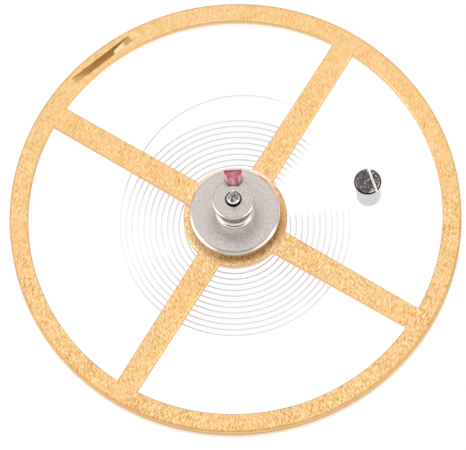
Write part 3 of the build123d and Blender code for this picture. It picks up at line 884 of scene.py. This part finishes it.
def spring_line():
    """Centre line of the spring, from its end in the collet through the coils to its end in the stud."""
    foot_angle = spring_foot_angle()
    inner_radius = spring_inner_radius()
    foot = polar(COLLET_HOLE_DISTANCE + SPRING_OFFSET_IN_COLLET_HOLE, foot_angle)
    bend_centre = polar(inner_radius - SPRING_INNER_BEND_RADIUS, SPRING_BODY_ANGLE)
    points = [foot + polar(SPRING_TAIL_IN_COLLET, foot_angle + 90)]
    points += arc_points(bend_centre, SPRING_INNER_BEND_RADIUS, foot_angle, SPRING_BODY_ANGLE)
    for step in reversed(range(2 * round((SPRING_BODY_RADIUS - inner_radius) / SPRING_PITCH))):
        far_half = step % 2 == 0
        centre = polar(SPRING_PITCH / 4 if far_half else -SPRING_PITCH / 4, SPRING_BODY_ANGLE)
        radius = SPRING_BODY_RADIUS - SPRING_PITCH / 4 - step * SPRING_PITCH / 2
        start_angle = SPRING_BODY_ANGLE + (180 if far_half else 0)
        points += arc_points(centre, radius, start_angle, start_angle - 180)
    return points + outer_curve()


def outer_curve():
    """Points of the spring's outer curve, from the last coil to the stud."""
    second_shift = TERMINAL_GAP + TERMINAL_BLEND
    spread = math.cos(math.radians(SPRING_BODY_ANGLE - 180 - TERMINAL_JOIN_ANGLE))
    first_shift = (second_shift ** 2 - TERMINAL_BLEND ** 2) / (2 * (TERMINAL_BLEND + second_shift * spread))
    first_centre = polar(-first_shift, SPRING_BODY_ANGLE)
    second_centre = polar(second_shift, TERMINAL_JOIN_ANGLE)
    across = second_centre - first_centre
    meet_angle = math.degrees(math.atan2(across.y, across.x))
    slot_start = polar(SLOT_DISTANCE, STUD_ANGLE) + polar(STUD_HEAD_RADIUS, STUD_ANGLE + 90)
    bend_centre = slot_start - polar(TERMINAL_END_BEND_RADIUS, STUD_ANGLE)
    bend_angle = math.degrees(math.atan2(bend_centre.y, bend_centre.x))
    reach = (TERMINAL_RADIUS - TERMINAL_END_BEND_RADIUS) / bend_centre.length
    leave_angle = bend_angle + math.degrees(math.acos(reach))
    points = arc_points(first_centre, SPRING_BODY_RADIUS + first_shift, SPRING_BODY_ANGLE, meet_angle)
    points += arc_points(second_centre, TERMINAL_RADIUS - second_shift, meet_angle, TERMINAL_JOIN_ANGLE)
    points += arc_points(Vector((0, 0, 0)), TERMINAL_RADIUS, TERMINAL_JOIN_ANGLE, leave_angle)
    points.append(polar(TERMINAL_RADIUS, leave_angle))
    points += arc_points(bend_centre, TERMINAL_END_BEND_RADIUS, leave_angle, STUD_ANGLE)
    end_length = 2 * STUD_HEAD_RADIUS - SPRING_END_SETBACK
    return points + [slot_start, slot_start + polar(end_length, STUD_ANGLE - 90)]


def strip_tool():
    """Tree that draws a flat strip on edge along a line, and keeps how far along it each point is."""
    sizes = {"Thickness": "Float", "Height": "Float", "Edge Rounding": "Float"}
    tree, given, real = node_tool("strip_along_a_line", sizes)
    line = tree.nodes.new("GeometryNodeMeshToCurve")
    along = tree.nodes.new("GeometryNodeSplineParameter")
    keep = tree.nodes.new("GeometryNodeStoreNamedAttribute")
    keep.data_type = "FLOAT"
    keep.inputs["Name"].default_value = "along"
    upright = tree.nodes.new("GeometryNodeSetCurveNormal")
    upright.mode = "Z_UP"
    section = tree.nodes.new("GeometryNodeCurvePrimitiveQuadrilateral")
    rounded = tree.nodes.new("GeometryNodeFilletCurve")
    rounded.mode = "POLY"
    rounded.inputs["Count"].default_value = 1
    sweep = tree.nodes.new("GeometryNodeCurveToMesh")
    sweep.inputs["Fill Caps"].default_value = True
    join(tree, (given, "Geometry", line, "Mesh"), (line, "Curve", keep, "Geometry"),
         (along, "Factor", keep, "Value"), (keep, "Geometry", upright, "Curve"),
         (given, "Thickness", section, "Width"), (given, "Height", section, "Height"),
         (section, "Curve", rounded, "Curve"), (given, "Edge Rounding", rounded, "Radius"),
         (upright, "Curve", sweep, "Curve"), (rounded, "Curve", sweep, "Profile Curve"),
         (sweep, "Mesh", real, "Geometry"))
    return tree


def hairspring(finish):
    """Flat hairspring that winds up between the stud and the collet when the balance swings."""
    points = [Vector((point.x, point.y, Z_SPRING)) for point in spring_line()]
    mesh = bpy.data.meshes.new("spring_line")
    mesh.from_pydata(points, [(step, step + 1) for step in range(len(points) - 1)], [])
    spring = loose_object("spiral_spring", mesh)
    run_tool(spring, strip_tool(), {
        "Thickness": SPRING_THICKNESS, "Height": SPRING_HEIGHT,
        "Edge Rounding": SPRING_EDGE_ROUNDING, "Finish": finish,
    })
    finish_piece(spring, None, "hairspring", finish)
    stud = polar(STUD_DISTANCE, STUD_ANGLE, Z_SPRING) * MM
    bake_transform(spring, "stud", "balance", start=stud, end=(0, 0, stud.z))
    hold_by_length(spring)


def hold_by_length(spring):
    """Shares the spring's bend by its length, between the stud at its outer end and the collet within."""
    mesh = spring.data
    along = np.zeros(len(mesh.vertices), np.float32)
    mesh.attributes["along"].data.foreach_get("value", along)
    inner_hold = 0.003
    outer_hold = 0.012
    share = np.clip((1 - outer_hold - along) / (1 - outer_hold - inner_hold), 0, 1)
    mesh.attributes["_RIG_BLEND"].data.foreach_set("value", share.astype(np.float32))


# Stud


def hairspring_stud(finish):
    """Turned stud with its flared head, slotted for the end of the spring."""
    outline = eased([
        (0, Z_STUD_FOOT), (STUD_BODY_RADIUS - STUD_CHAMFER, Z_STUD_FOOT),
        (STUD_BODY_RADIUS, Z_STUD_FOOT + STUD_CHAMFER), (STUD_BODY_RADIUS, Z_STUD_FACE - STUD_HEAD_LENGTH),
        (STUD_HEAD_RADIUS, Z_STUD_FACE - STUD_CHAMFER), (STUD_HEAD_RADIUS - STUD_CHAMFER, Z_STUD_FACE),
        (0, Z_STUD_FACE),
    ], STUD_EDGE_BREAK, closed=False)
    form = placed(turned("stud", outline), Matrix.Translation(polar(STUD_DISTANCE, STUD_ANGLE)))
    stud = loose_object("stud", form)
    slot_size = (STUD_SLOT_WIDTH, 3 * STUD_HEAD_RADIUS, 2 * (Z_STUD_FACE - Z_SLOT_FLOOR))
    carved(stud, box("slot", slot_size, outward(SLOT_DISTANCE, STUD_ANGLE, Z_STUD_FACE)))
    finish_piece(stud, "stud", "hairspring_stud", finish)


def stud_cement(finish):
    """Cement in the slot of the stud, with a slightly uneven crowned top."""
    chord = 2 * math.sqrt(STUD_HEAD_RADIUS ** 2 - (STUD_SLOT_OFFSET + STUD_SLOT_WIDTH / 2) ** 2)
    length = chord - 2 * STUD_CHAMFER
    columns = 28
    rows = 6
    ripples = 9
    form = bmesh.new()
    place = outward(SLOT_DISTANCE, STUD_ANGLE, 0)
    top = []
    for column in range(columns + 1):
        y = length * (column / columns - 0.5)
        ripple = math.sin(ripples * column / columns)
        line = []
        for row in range(rows + 1):
            x = STUD_SLOT_WIDTH * (row / rows - 0.5)
            crown = 0.5 * CEMENT_SETBACK * (math.cos(math.pi * (row / rows - 0.5)) + ripple)
            line.append(form.verts.new(place @ Vector((x, y, Z_STUD_FACE - 2 * CEMENT_SETBACK + crown))))
        top.append(line)
    for first, second in zip(top, top[1:]):
        for row in range(rows):
            form.faces.new((first[row], second[row], second[row + 1], first[row + 1]))
    edges = [edge for edge in form.edges if edge.is_boundary]
    walls = bmesh.ops.extrude_edge_only(form, edges=edges)["geom"]
    for item in walls:
        if isinstance(item, bmesh.types.BMVert):
            item.co.z = Z_SLOT_FLOOR
    bmesh.ops.contextual_create(form, geom=[item for item in walls if isinstance(item, bmesh.types.BMEdge)])
    cement = loose_object("cement", as_mesh(form, "cement"))
    finish_piece(cement, "stud", "stud_cement", finish)


# Finishes


def gilt_strokes(finish):
    """Short crossing strokes of the graining, from minus one half to one half, and deeper scratches."""
    leaning = []
    for turn, across, along in ((-31, 36, 9.5), (24, 40, 10.5)):
        strokes = finish.noise(finish.place(turn=turn, stretch=(across, along, along)), 1.0, 3.0, 0.65)
        leaning.append(finish.between(strokes, 0.36, 0.64, -0.5, 0.5))
    side = finish.between(finish.noise(finish.place(centre=(4, 2, 0)), 0.55, 1.0), 0.42, 0.58)
    first = finish.times(leaning[0], side)
    second = finish.times(leaning[1], finish.math("SUBTRACT", 1.0, side))
    scratches = finish.noise(finish.place(turn=-14, stretch=(46, 3.2, 3.2)), 1.0, 1.0)
    deep = finish.between(scratches, 0.66, 0.74, 0.0, 0.5)
    return finish.math("SUBTRACT", finish.math("ADD", first, second), deep)


def gilt_face(finish, grain):
    """Warm gilt of the flat faces, its strokes stronger towards the front and its ground slightly patchy."""
    strong = finish.between(finish.split(finish.place())["Y"], 4.0, -3.0, 0.5, 1.05)
    patches = finish.between(finish.noise(finish.place(centre=(1, 7, 0)), 2.6, 3.0), 0.3, 0.7, -0.07, 0.07)
    level = finish.math("ADD", finish.times(grain, strong), patches)
    return finish.ramp(level, [(-0.55, "BE8A48"), (-0.30, "D8A664"), (-0.10, "E7BA7F"), (0.05, "EEC48C"),
                               (0.22, "F5CF99"), (0.50, "FFE0AC")])


def gilt_wall(finish, radius, height):
    """Turned walls with painted reflection: the rim's outer side cream below and darker gold above, with
    painted shade at its fine line, and the insides of the windows white at their foot, turning gold towards
    the face.
    """
    turned_lines = finish.noise(finish.point(X=radius, Z=height), 70.0, 2.0)
    line = Z_FACE - RIM_LINE_BELOW_FACE
    # Painted reflection on the rim's outer side: cream below, gold above, with painted shade at the fine
    # line.
    outer = finish.ramp(height, [
        (Z_RIM_FOOT, "FFF4DC"), (line - 0.05, "ECD0AA"), (line - 0.02, "D8B48C"), (line + 0.02, "DAB68E"),
        (Z_FACE - 0.10, "ECC79C"), (Z_FACE - 0.02, "E8BC8C"),
    ])
    # Painted reflection on the insides of the windows: white at the foot, gold towards the face.
    inner = finish.ramp(height, [
        (Z_RIM_FOOT, "FFFEFA"), (Z_FACE - 0.315, "FFFDF4"), (Z_FACE - 0.245, "FFF0DC"),
        (Z_FACE - 0.175, "F4DABC"), (Z_FACE - 0.105, "E8C8A0"), (Z_FACE - 0.02, "E6B27A"),
    ])
    inner = finish.blend(finish.times(turned_lines, 0.3), inner, "FFF6E6")
    return finish.blend(finish.between(radius, RIM_INNER_RADIUS + 0.1, RIM_RADIUS - 0.1), inner, outer)


def gilt_hub(finish, face, grain, radius, parts):
    """Gilt face with the hub's brighter tones, a painted brown shadow of the roller towards the lower right,
    painted shade on its right side and a painted highlight along its back edge, and the share by which the
    hub scatters light.
    """
    on_hub = finish.between(radius, HUB_RADIUS + 0.03, HUB_RADIUS - 0.03)
    shaded_side = finish.between(finish.along(-60), 0.30, 0.75)
    hub = finish.ramp(grain, [(-0.40, "CC985C"), (-0.10, "F0C48C"), (0.10, "FFD8A4"), (0.40, "FFEECC")])
    # Painted brown shadow of the roller on the hub, towards the lower right.
    painted_shadow_brown = finish.ramp(grain, [(-0.30, "8A562A"), (0.0, "BA8046"), (0.30, "E2AE72")])
    painted_roller_shadow = finish.times(finish.between(radius, 1.12, 1.03), shaded_side, 0.85)
    face = finish.blend(finish.times(on_hub, 0.85), face, finish.blend(painted_roller_shadow, hub, painted_shadow_brown))
    # Painted shade on the right side of the hub.
    painted_shade_right = finish.times(finish.between(parts["X"], 0.85, 1.0),
                              finish.between(radius, HUB_RADIUS + 0.06, HUB_RADIUS), 0.6)
    face = finish.blend(painted_shade_right, face, "D0945C")
    # Painted highlight along the back edge of the hub.
    painted_highlight_back = finish.times(finish.between(parts["Y"], 0.80, 0.98),
                             finish.band(radius, 0.99, 1.03, HUB_RADIUS, HUB_RADIUS + 0.03), 0.55)
    face = finish.blend(painted_highlight_back, face, "FFF8F4")
    return face, finish.math("MAXIMUM", finish.between(radius, 1.07, 1.01), finish.times(on_hub, shaded_side))


def scoop_painted_light(finish, flatness):
    """Glowing colours of the scoop: tan, with a painted brown shadow from its outer wall, a painted highlight
    near its other end, and its walls in painted shade.
    """
    along = finish.along(SCOOP_ANGLE - 90)
    across = finish.along(SCOOP_ANGLE)
    inward = finish.between(across, SCOOP_DISTANCE, SCOOP_DISTANCE - SCOOP_WIDTH)
    reach = finish.math("MINIMUM", finish.between(along, -0.80, -0.25, -0.25, 0.75),
                        finish.between(along, 0.28, 0.40, 1.2, -0.2))
    softness = finish.between(along, -0.60, -0.10, 0.35, 0.12)
    depth = finish.math("DIVIDE", finish.math("SUBTRACT", reach, inward), softness)
    shaded = finish.between(depth, -1.0, 1.0)
    shadow = finish.ramp(along, [(-0.80, "C89858"), (-0.30, "B27E46"), (0.05, "B48050"), (0.32, "AC7A46")])
    painted_lit_floor = finish.ramp(along, [
        (-0.80, "DEB070"), (-0.30, "D4A268"), (0.28, "D8A870"), (0.36, "FFE8B6"), (0.58, "FFE6B2"),
        (0.66, "CFA472"), (0.80, "C8A070"),
    ])
    painted_wall_shade = finish.ramp(along, [
        (-0.80, "BA965A"), (-0.45, "B98648"), (0.0, "A4703A"), (0.45, "986C38"), (0.75, "A07238"),
    ])
    on_floor = finish.between(flatness, 0.3, 0.6)
    return finish.blend(on_floor, painted_wall_shade, finish.blend(shaded, painted_lit_floor, shadow))


def inside_scoop(finish):
    """One inside the scoop's space, just under the face of the rim, and nothing elsewhere."""
    parts = finish.split(finish.place(turn=SCOOP_ANGLE))
    skin = 0.004
    below_face = 0.001
    half_length = 0.85
    return finish.times(
        finish.math("GREATER_THAN", parts["X"], SCOOP_DISTANCE - SCOOP_WIDTH - skin),
        finish.math("LESS_THAN", parts["X"], SCOOP_DISTANCE + skin),
        finish.math("LESS_THAN", finish.math("ABSOLUTE", parts["Y"]), half_length),
        finish.math("LESS_THAN", parts["Z"], Z_FACE - below_face),
        finish.math("GREATER_THAN", parts["Z"], Z_FACE - SCOOP_DEPTH - skin),
    )


def gilt_finish():
    """Gilt brass, grained on its flat faces, with turned walls, broken edges and a scoop whose dark inside
    glows with painted shadow and highlight.
    """
    finish = Finish("gilt_grained", "F8CB8E", 0.34, 1.0)
    place = finish.place()
    parts = finish.split(place)
    radius = finish.from_axis(place)
    height = parts["Z"]
    grain = gilt_strokes(finish)
    flatness = finish.steepness()
    on_flat = finish.between(flatness, 0.20, 0.30)
    face, scattering = gilt_hub(finish, gilt_face(finish, grain), grain, radius, parts)
    coat = finish.blend(on_flat, gilt_wall(finish, radius, height), face)
    edge = finish.times(finish.band(flatness, 0.2, 0.35, 0.9, 0.97),
                        finish.between(radius, RIM_INNER_RADIUS, RIM_RADIUS - 0.1, 0.3, 0.85))
    brim = finish.times(finish.between(radius, RIM_RADIUS - 0.05, RIM_RADIUS - 0.03, 0.0, 0.25), on_flat)
    coat = finish.blend(finish.math("MAXIMUM", edge, brim), coat, "B98340")
    scoop = inside_scoop(finish)
    bare = finish.math("SUBTRACT", 1.0, scoop)
    # Inside the scoop the base is near black, and the scoop's painted shadow and highlight tones glow in its
    # place.
    finish.set(base_color=finish.blend(scoop, coat, "241808"),
               metallic=finish.math("SUBTRACT", bare, finish.times(scattering, 0.7)),
               specular_ior_level=finish.between(scoop, 0.0, 1.0, 0.5, 0.0),
               specular_tint=finish.ramp(height, [(Z_FACE - 0.27, "FFFFFF"), (Z_FACE - 0.12, "FFE0B8")]),
               emission_color=finish.blend(scoop, "000000", scoop_painted_light(finish, flatness)),
               emission_strength=0.97)
    finish.bump(finish.times(grain, on_flat), 0.0012, 0.5)
    return finish.material


def steel_shade(finish, place, rings_per_mm=60.0, clouds_per_mm=24.0, cloud_share=0.5):
    """Fine rings from turning together with mottling, about one half."""
    ring_place = finish.point(X=finish.from_axis(place), Z=finish.split(place)["Z"])
    rings = finish.noise(ring_place, rings_per_mm, 2.0)
    cloud = finish.noise(place, clouds_per_mm, 3.0, 0.6)
    return finish.math("ADD", finish.times(rings, 1 - cloud_share), finish.times(cloud, cloud_share))


def turned_metal(name, dark, light, roughness):
    """Plain turned metal with fine rings and a little mottling."""
    finish = Finish(name, light, roughness, 1.0)
    shade = steel_shade(finish, finish.place())
    finish.set(base_color=finish.blend(finish.between(shade, 0.35, 0.65), dark, light))
    finish.bump(shade)
    return finish.material


def roller_finish():
    """Satin face of the large roller, with small swirls, a mottled brown painted shade in front of the neck,
    a polished bevel and a fine line of painted shade inside it, darker at the front.
    """
    finish = Finish("roller_satin", "C8BFBA", 0.36, 1.0)
    place = finish.place()
    y = finish.split(place)["Y"]
    radius = finish.from_axis(place)
    flatness = finish.steepness()
    shade = steel_shade(finish, place, 34.0, 20.0, 0.85)
    face = finish.ramp(shade, [(0.30, "B6ACA7"), (0.50, "C8BFBA"), (0.70, "D4CBC7")])
    curls = finish.noise(finish.place(centre=(1, 4, 0)), 5.0, 0.0, 0.5, 0.6)
    curls = finish.math("PINGPONG", finish.times(curls, 6.0), 0.5)
    front = finish.times(finish.between(y, -0.35, -0.52), finish.between(radius, 0.94, 0.86))
    for start, end, strength, tone in ((0.34, 0.5, 0.34, "F4ECE8"), (0.16, 0.0, 0.22, "8C7E78")):
        swirls = finish.times(finish.between(curls, start, end, 0.0, strength), front)
        face = finish.blend(swirls, face, tone)
    # Mottled brown painted shade on the face in front of the neck, where the face also scatters some light.
    near_neck = finish.times(finish.between(radius, 0.72, 0.45), finish.between(y, -0.2, -0.45))
    painted_neck_shade = finish.noise(finish.place(centre=(3, 1, 0)), 5.0, 3.0)
    painted_neck_shade = finish.times(near_neck, finish.between(painted_neck_shade, 0.4, 0.7, 0.0, 0.7))
    face = finish.blend(painted_neck_shade, face, "B89F86")
    bevel = finish.between(flatness, 0.97, 0.9)
    side = finish.blend(finish.between(flatness, 0.5, 0.3), "EADFD6", finish.blend(shade, "B0A090", "D0C4B8"))
    rim = IMPULSE_ROLLER_RADIUS - IMPULSE_ROLLER_CHAMFER
    # Fine line of painted shade inside the bevel, stronger at the front.
    line = finish.times(finish.band(radius, rim - 0.024, rim - 0.008, rim + 0.018, rim + 0.032),
                        finish.between(y, -0.3, -0.8, 0.2, 0.6))
    finish.set(base_color=finish.blend(line, finish.blend(bevel, face, side), "786E66"),
               roughness=finish.between(bevel, 0.0, 1.0, 0.36, 0.12),
               metallic=finish.between(near_neck, 0.0, 1.0, 1.0, 0.4))
    finish.bump(shade)
    return finish.material


def safety_finish():
    """Satin top of the small roller with its polished edge, wall and neck: a glowing painted highlight round
    the neck, painted shade at the front of its foot, a fine line of painted shade inside the edge and painted
    shade at the front of the recess round the staff.
    """
    finish = Finish("small_roller_satin", "CDC5BE", 0.24, 1.0)
    place = finish.place()
    parts = finish.split(place)
    radius = finish.from_axis(place)
    flatness = finish.steepness()
    polished = finish.between(flatness, 0.97, 0.9)
    shade = steel_shade(finish, place, 30.0, 22.0, 0.6)
    face = finish.ramp(shade, [(0.34, "B0A8A2"), (0.50, "C2BAB4"), (0.66, "D0C9C4")])
    # Painted highlight band round the neck, which also glows, and painted shade at the front of the neck's
    # foot.
    painted_neck_highlight = finish.between(parts["Z"], Z_TABLE + 0.27, Z_TABLE + 0.20)
    foot = finish.times(finish.between(parts["Z"], Z_TABLE + 0.11, Z_TABLE + 0.07),
                        finish.between(parts["Y"], -0.28, -0.36))
    side = finish.blend(painted_neck_highlight, finish.blend(shade, "80776F", "A89F96"), "FFFCF8")
    side = finish.blend(foot, side, "4E443E")
    side = finish.blend(finish.between(flatness, 0.4, 0.15), "D6CEC8", side)
    coat = finish.blend(polished, face, side)
    rim = SAFETY_ROLLER_RADIUS - SAFETY_ROLLER_CHAMFER
    # Fine line of painted shade inside the polished edge.
    line = finish.band(radius, rim - 0.014, rim - 0.004, rim + 0.006, rim + 0.014)
    coat = finish.blend(finish.times(line, 0.35), coat, "8F857C")
    within = finish.between(radius, RECESS_TOP_RADIUS + 0.01, RECESS_TOP_RADIUS + 0.004)
    coat = finish.blend(within, coat, face)
    # Painted shade at the front of the recess round the staff.
    painted_recess_shade = finish.times(finish.between(radius, RECESS_TOP_RADIUS + 0.016, RECESS_TOP_RADIUS + 0.008),
                       finish.between(parts["Y"], 0.09, 0.0), 0.9)
    painted_neck_glow = finish.math("MULTIPLY", finish.math("SUBTRACT", painted_neck_highlight, foot),
                         finish.between(flatness, 0.6, 0.4), clamp=True)
    finish.set(base_color=finish.blend(painted_recess_shade, coat, "2A2420"),
               roughness=finish.between(polished, 0.0, 1.0, 0.24, 0.10),
               emission_color=finish.blend(painted_neck_glow, "000000", "FFF8F0"), emission_strength=0.22)
    finish.bump(shade)
    return finish.material


def staff_finish():
    """Polished staff, with painted reflections down its upper cone as dark and bright streaks and a bright
    ring at its foot, and painted shade where it sits in the roller.
    """
    finish = Finish("staff_polish", "D4D1CE", 0.10, 1.0)
    place = finish.place()
    parts = finish.split(place)
    radius = finish.from_axis(place)
    height = parts["Z"]
    bearing = finish.times(finish.math("ARCTAN2", parts["Y"], parts["X"]), 2.6)
    painted_cone_reflections = finish.noise(finish.point(X=bearing, Y=radius, Z=height), 1.6, 2.0)
    shade = steel_shade(finish, place)
    ground = finish.blend(finish.between(shade, 0.35, 0.65), "DCD9D6", "F6F4F2")
    # Painted reflections on the cone: dark and bright streaks, and a bright ring at the cone's foot.
    cone = finish.ramp(painted_cone_reflections, [(0.40, "3E3834"), (0.49, "8E8984"), (0.57, "F6F4F2")])
    cone = finish.blend(finish.between(radius, 0.108, 0.122), cone, "FAF8F6")
    ground = finish.blend(finish.between(height, Z_UPPER_CONE - 0.003, Z_UPPER_CONE + 0.003), ground, cone)
    # Painted shade where the staff sits in the recess of the small roller.
    deep = finish.band(height, Z_SEAT_TOP - 0.01, Z_SEAT_TOP, Z_SAFETY_TOP + 0.02, Z_SAFETY_TOP + 0.04)
    finish.set(base_color=finish.blend(finish.times(deep, 0.9), ground, "1A1613"))
    finish.bump(shade)
    return finish.material


def ruby_finish():
    """Polished ruby: a rosy top with a rim of painted shade, and sides painted by bearing with pale and deep
    bands of reflection, darker towards the foot as painted shade and glowing a little.
    """
    finish = Finish("ruby_polished", "B4566C", 0.08)
    place = finish.place()
    centred = finish.place(centre=tuple(polar(JEWEL_DISTANCE, JEWEL_ANGLE)))
    local = finish.split(centred)
    flatness = finish.steepness()
    top = finish.ramp(finish.noise(place, 11.0, 3.0), [(0.34, "9E5062"), (0.50, "B06274"), (0.64, "C47C8C")])
    # Rim of painted shade along the flat side and the left of the top.
    painted_dark_flat_edge = finish.between(local["Y"], JEWEL_FLAT_FROM_CENTRE - 0.055, JEWEL_FLAT_FROM_CENTRE - 0.03)
    painted_dark_left_edge = finish.times(
        finish.between(finish.from_axis(centred), JEWEL_RADIUS - 0.045, JEWEL_RADIUS - 0.018),
        finish.between(local["X"], -0.04, -0.12))
    rim = finish.math("MAXIMUM", painted_dark_flat_edge, painted_dark_left_edge)
    top = finish.blend(finish.times(rim, 0.8), top, "70303E")
    # Painted reflections: pale and deep bands round the sides by bearing.
    bearing = finish.math("DEGREES", finish.math("ARCTAN2", local["Y"], local["X"]))
    bearing = finish.math("ADD", bearing, finish.between(finish.noise(place, 9.0, 1.0), 0.3, 0.7, -9.0, 9.0))
    side = finish.ramp(bearing, [
        (-180, "94486A"), (-163, "A8506E"), (-150, "F0B4C4"), (-136, "DC8CA4"), (-122, "AC4A6C"),
        (-108, "CC7890"), (-98, "F2B8C6"), (-84, "ECACBA"), (-70, "A84468"), (-52, "D080A0"),
        (-40, "E49CB2"), (-26, "B85074"), (0, "8C3C58"),
    ])
    # Painted shade: the sides darker towards the foot.
    side = finish.blend(finish.between(local["Z"], Z_TABLE + 0.22, Z_TABLE + 0.03), side, "5A2832")
    bevelled = finish.band(flatness, 0.1, 0.2, 0.9, 0.98)
    # The sides glow a little with their painted colours.
    glow = finish.between(flatness, 0.2, 0.1)
    finish.set(base_color=finish.blend(finish.between(flatness, 0.9, 0.97), side, top),
               specular_ior_level=finish.between(bevelled, 0.0, 1.0, 0.3, 0.0),
               emission_color=finish.blend(glow, "000000", side), emission_strength=0.16)
    return finish.material


def shellac_finish():
    """Clear brown shellac with darker swirls and a glossy skin."""
    finish = Finish("shellac_brown", "6A3412", 0.22)
    swirl = finish.noise(finish.place(), 16.0, 3.0, 0.55, 1.2)
    tone = finish.ramp(swirl, [(0.30, "3A1806"), (0.52, "6A3412"), (0.72, "A0602A")])
    finish.set(base_color=tone, coat_weight=0.5)
    finish.bump(swirl, 0.004, 0.5)
    return finish.material


def cement_finish():
    """Pale set cement, slightly pink, with a dark line of painted shadow along the slot's outer wall."""
    finish = Finish("pale_cement", "F6ECEA", 0.4)
    grain = finish.noise(finish.place(), 30.0, 3.0)
    body = finish.blend(grain, "F1DDDC", "FFFAF8")
    # Painted shadow along the slot's outer wall.
    painted_wall_shadow = finish.between(finish.along(STUD_ANGLE), SLOT_DISTANCE + 0.012, SLOT_DISTANCE + 0.026)
    finish.set(base_color=finish.blend(painted_wall_shadow, body, "4E4644"))
    finish.bump(grain, 0.003, 0.5)
    return finish.material


def spring_finish():
    """Bright rolled alloy with painted light: silver sides with a painted white sheen, grey narrow edges
    painted by bearing with a painted glare over some, a painted glow on sides and edges, and its last stretch
    near white and glowing.
    """
    finish = Finish("spring_bright", "F2F2F2", 0.12, 1.0)
    place = finish.place()
    parts = finish.split(place)
    rolled = finish.noise(place, 3.0, 2.0)
    along = finish.add("ShaderNodeAttribute", attribute_name="along").outputs["Fac"]
    # The last stretch is painted near white and glows.
    last = finish.between(along, 0.979, 0.985)
    outer = finish.between(along, 0.08, 0.45)
    angle = finish.math("ARCTAN2", parts["Y"], parts["X"])
    # Painted glare on the edges over the coils to the right and behind; edges painted lighter and glowing
    # more to the left and right of the staff than in front and behind.
    painted_glare = finish.band(finish.math("DEGREES", angle), 5, 20, 38, 52)
    facing = finish.times(finish.between(finish.math("ABSOLUTE", finish.math("SINE", angle)), 0.3, 0.75),
                          finish.between(parts["X"], 0.3, 1.8, 1.0, 0.5))
    # Painted sheen: the sides turn white where they are seen at a slant.
    painted_sheen = finish.add("ShaderNodeLayerWeight", {"Blend": 0.5}).outputs["Facing"]
    painted_sheen = finish.between(painted_sheen, 0.38, 0.62)
    on_wall = finish.between(finish.steepness(), 0.2, 0.1)
    edge = finish.blend(facing, finish.blend(rolled, "DEE1E4", "E5E8EB"),
                        finish.blend(rolled, "D0D2D4", "D7D9DB"))
    side = finish.blend(painted_sheen, finish.blend(rolled, "B2B7BE", "C4C9D0"),
                        finish.blend(rolled, "E6E8EA", "F0F2F3"))
    # Painted glow on edges and sides, stronger towards the collet.
    painted_edge_glow = finish.blend(facing, finish.blend(outer, "585858", "404040"),
                             finish.blend(outer, "525252", "222222"))
    painted_side_glow = finish.blend(painted_sheen, "000000", finish.blend(outer, "787878", "646464"))
    painted_spring_glow = finish.blend(on_wall, finish.blend(painted_glare, painted_edge_glow, "C8C8C8"), painted_side_glow)
    finish.set(base_color=finish.blend(last, finish.blend(on_wall, edge, side), "FDFDFD"),
               metallic=finish.times(on_wall, finish.math("SUBTRACT", 1.0, last)),
               emission_color=finish.blend(last, painted_spring_glow, "707070"), emission_strength=1.0)
    return finish.material


def stud_finish():
    """Polished pale body with fine turning lines, under a dark and scratched head with a patchy painted
    highlight band near its front edge and a bevel painted darker at the front.
    """
    finish = Finish("stud_head_and_body", "DADAD9", 0.28, 1.0)
    centred = finish.place(centre=tuple(polar(STUD_DISTANCE, STUD_ANGLE)))
    local = finish.split(centred)
    height = local["Z"]
    body = finish.ramp(finish.noise(finish.point(Z=height), 22.0, 2.0),
                       [(0.38, "BCBCBB"), (0.50, "CBCBCA"), (0.62, "DEDEDD")])
    cloud = finish.noise(finish.place(), 13.0, 4.0, 0.65, 0.6)
    head = finish.ramp(cloud, [(0.30, "3C3838"), (0.48, "5A5554"), (0.60, "726E6D"), (0.74, "908C8B")])
    speck = finish.noise(finish.place(centre=(2, 1, 0)), 22.0, 1.0)
    head = finish.blend(finish.between(speck, 0.68, 0.74), head, "F6F4F3")
    # Patchy painted highlight band near the front edge of the head.
    painted_highlight_patches = finish.between(finish.noise(finish.place(centre=(5, 3, 0)), 3.4, 1.0), 0.46, 0.56)
    front = finish.between(local["Y"], 0.06, -0.10)
    rim = STUD_HEAD_RADIUS
    band = finish.band(finish.from_axis(centred), rim - 0.062, rim - 0.05, rim - 0.036, rim - 0.028)
    head = finish.blend(finish.times(band, painted_highlight_patches, front), head, "D8D4D2")
    # Bevel painted darker at the front as painted shade.
    bevelled = finish.between(finish.steepness(), 0.97, 0.9)
    head = finish.blend(bevelled, head, finish.blend(front, "4A4442", "1E1A1A"))
    dark_level = Z_STUD_FACE - STUD_CHAMFER
    on_head = finish.between(height, dark_level - 0.01, dark_level + 0.002)
    finish.set(base_color=finish.blend(on_head, body, head))
    finish.bump(cloud, 0.002, 0.4)
    return finish.material


photo_camera()
plain_floor()
white_studio()
soft_light("left_light", azimuth=-162.0, elevation=12.0, distance=260.0, size=90.0, radiance=2.2)
soft_light("right_light", azimuth=-22.0, elevation=12.0, distance=260.0, size=70.0, radiance=2.0)
balance_wheel(gilt_finish())
balance_staff(staff_finish())
impulse_roller(roller_finish())
safety_roller(safety_finish())
impulse_jewel(ruby_finish())
jewel_shellac(shellac_finish())
hairspring_collet(turned_metal("collet_turned_brass", "C79A55", "E8C07A", 0.28))
collet_pin(turned_metal("pin_drawn_brass", "CDA462", "F0CC8C", 0.25))
hairspring(spring_finish())
hairspring_stud(stud_finish())
stud_cement(cement_finish())
bpy.context.scene.view_settings.view_transform = "Standard"
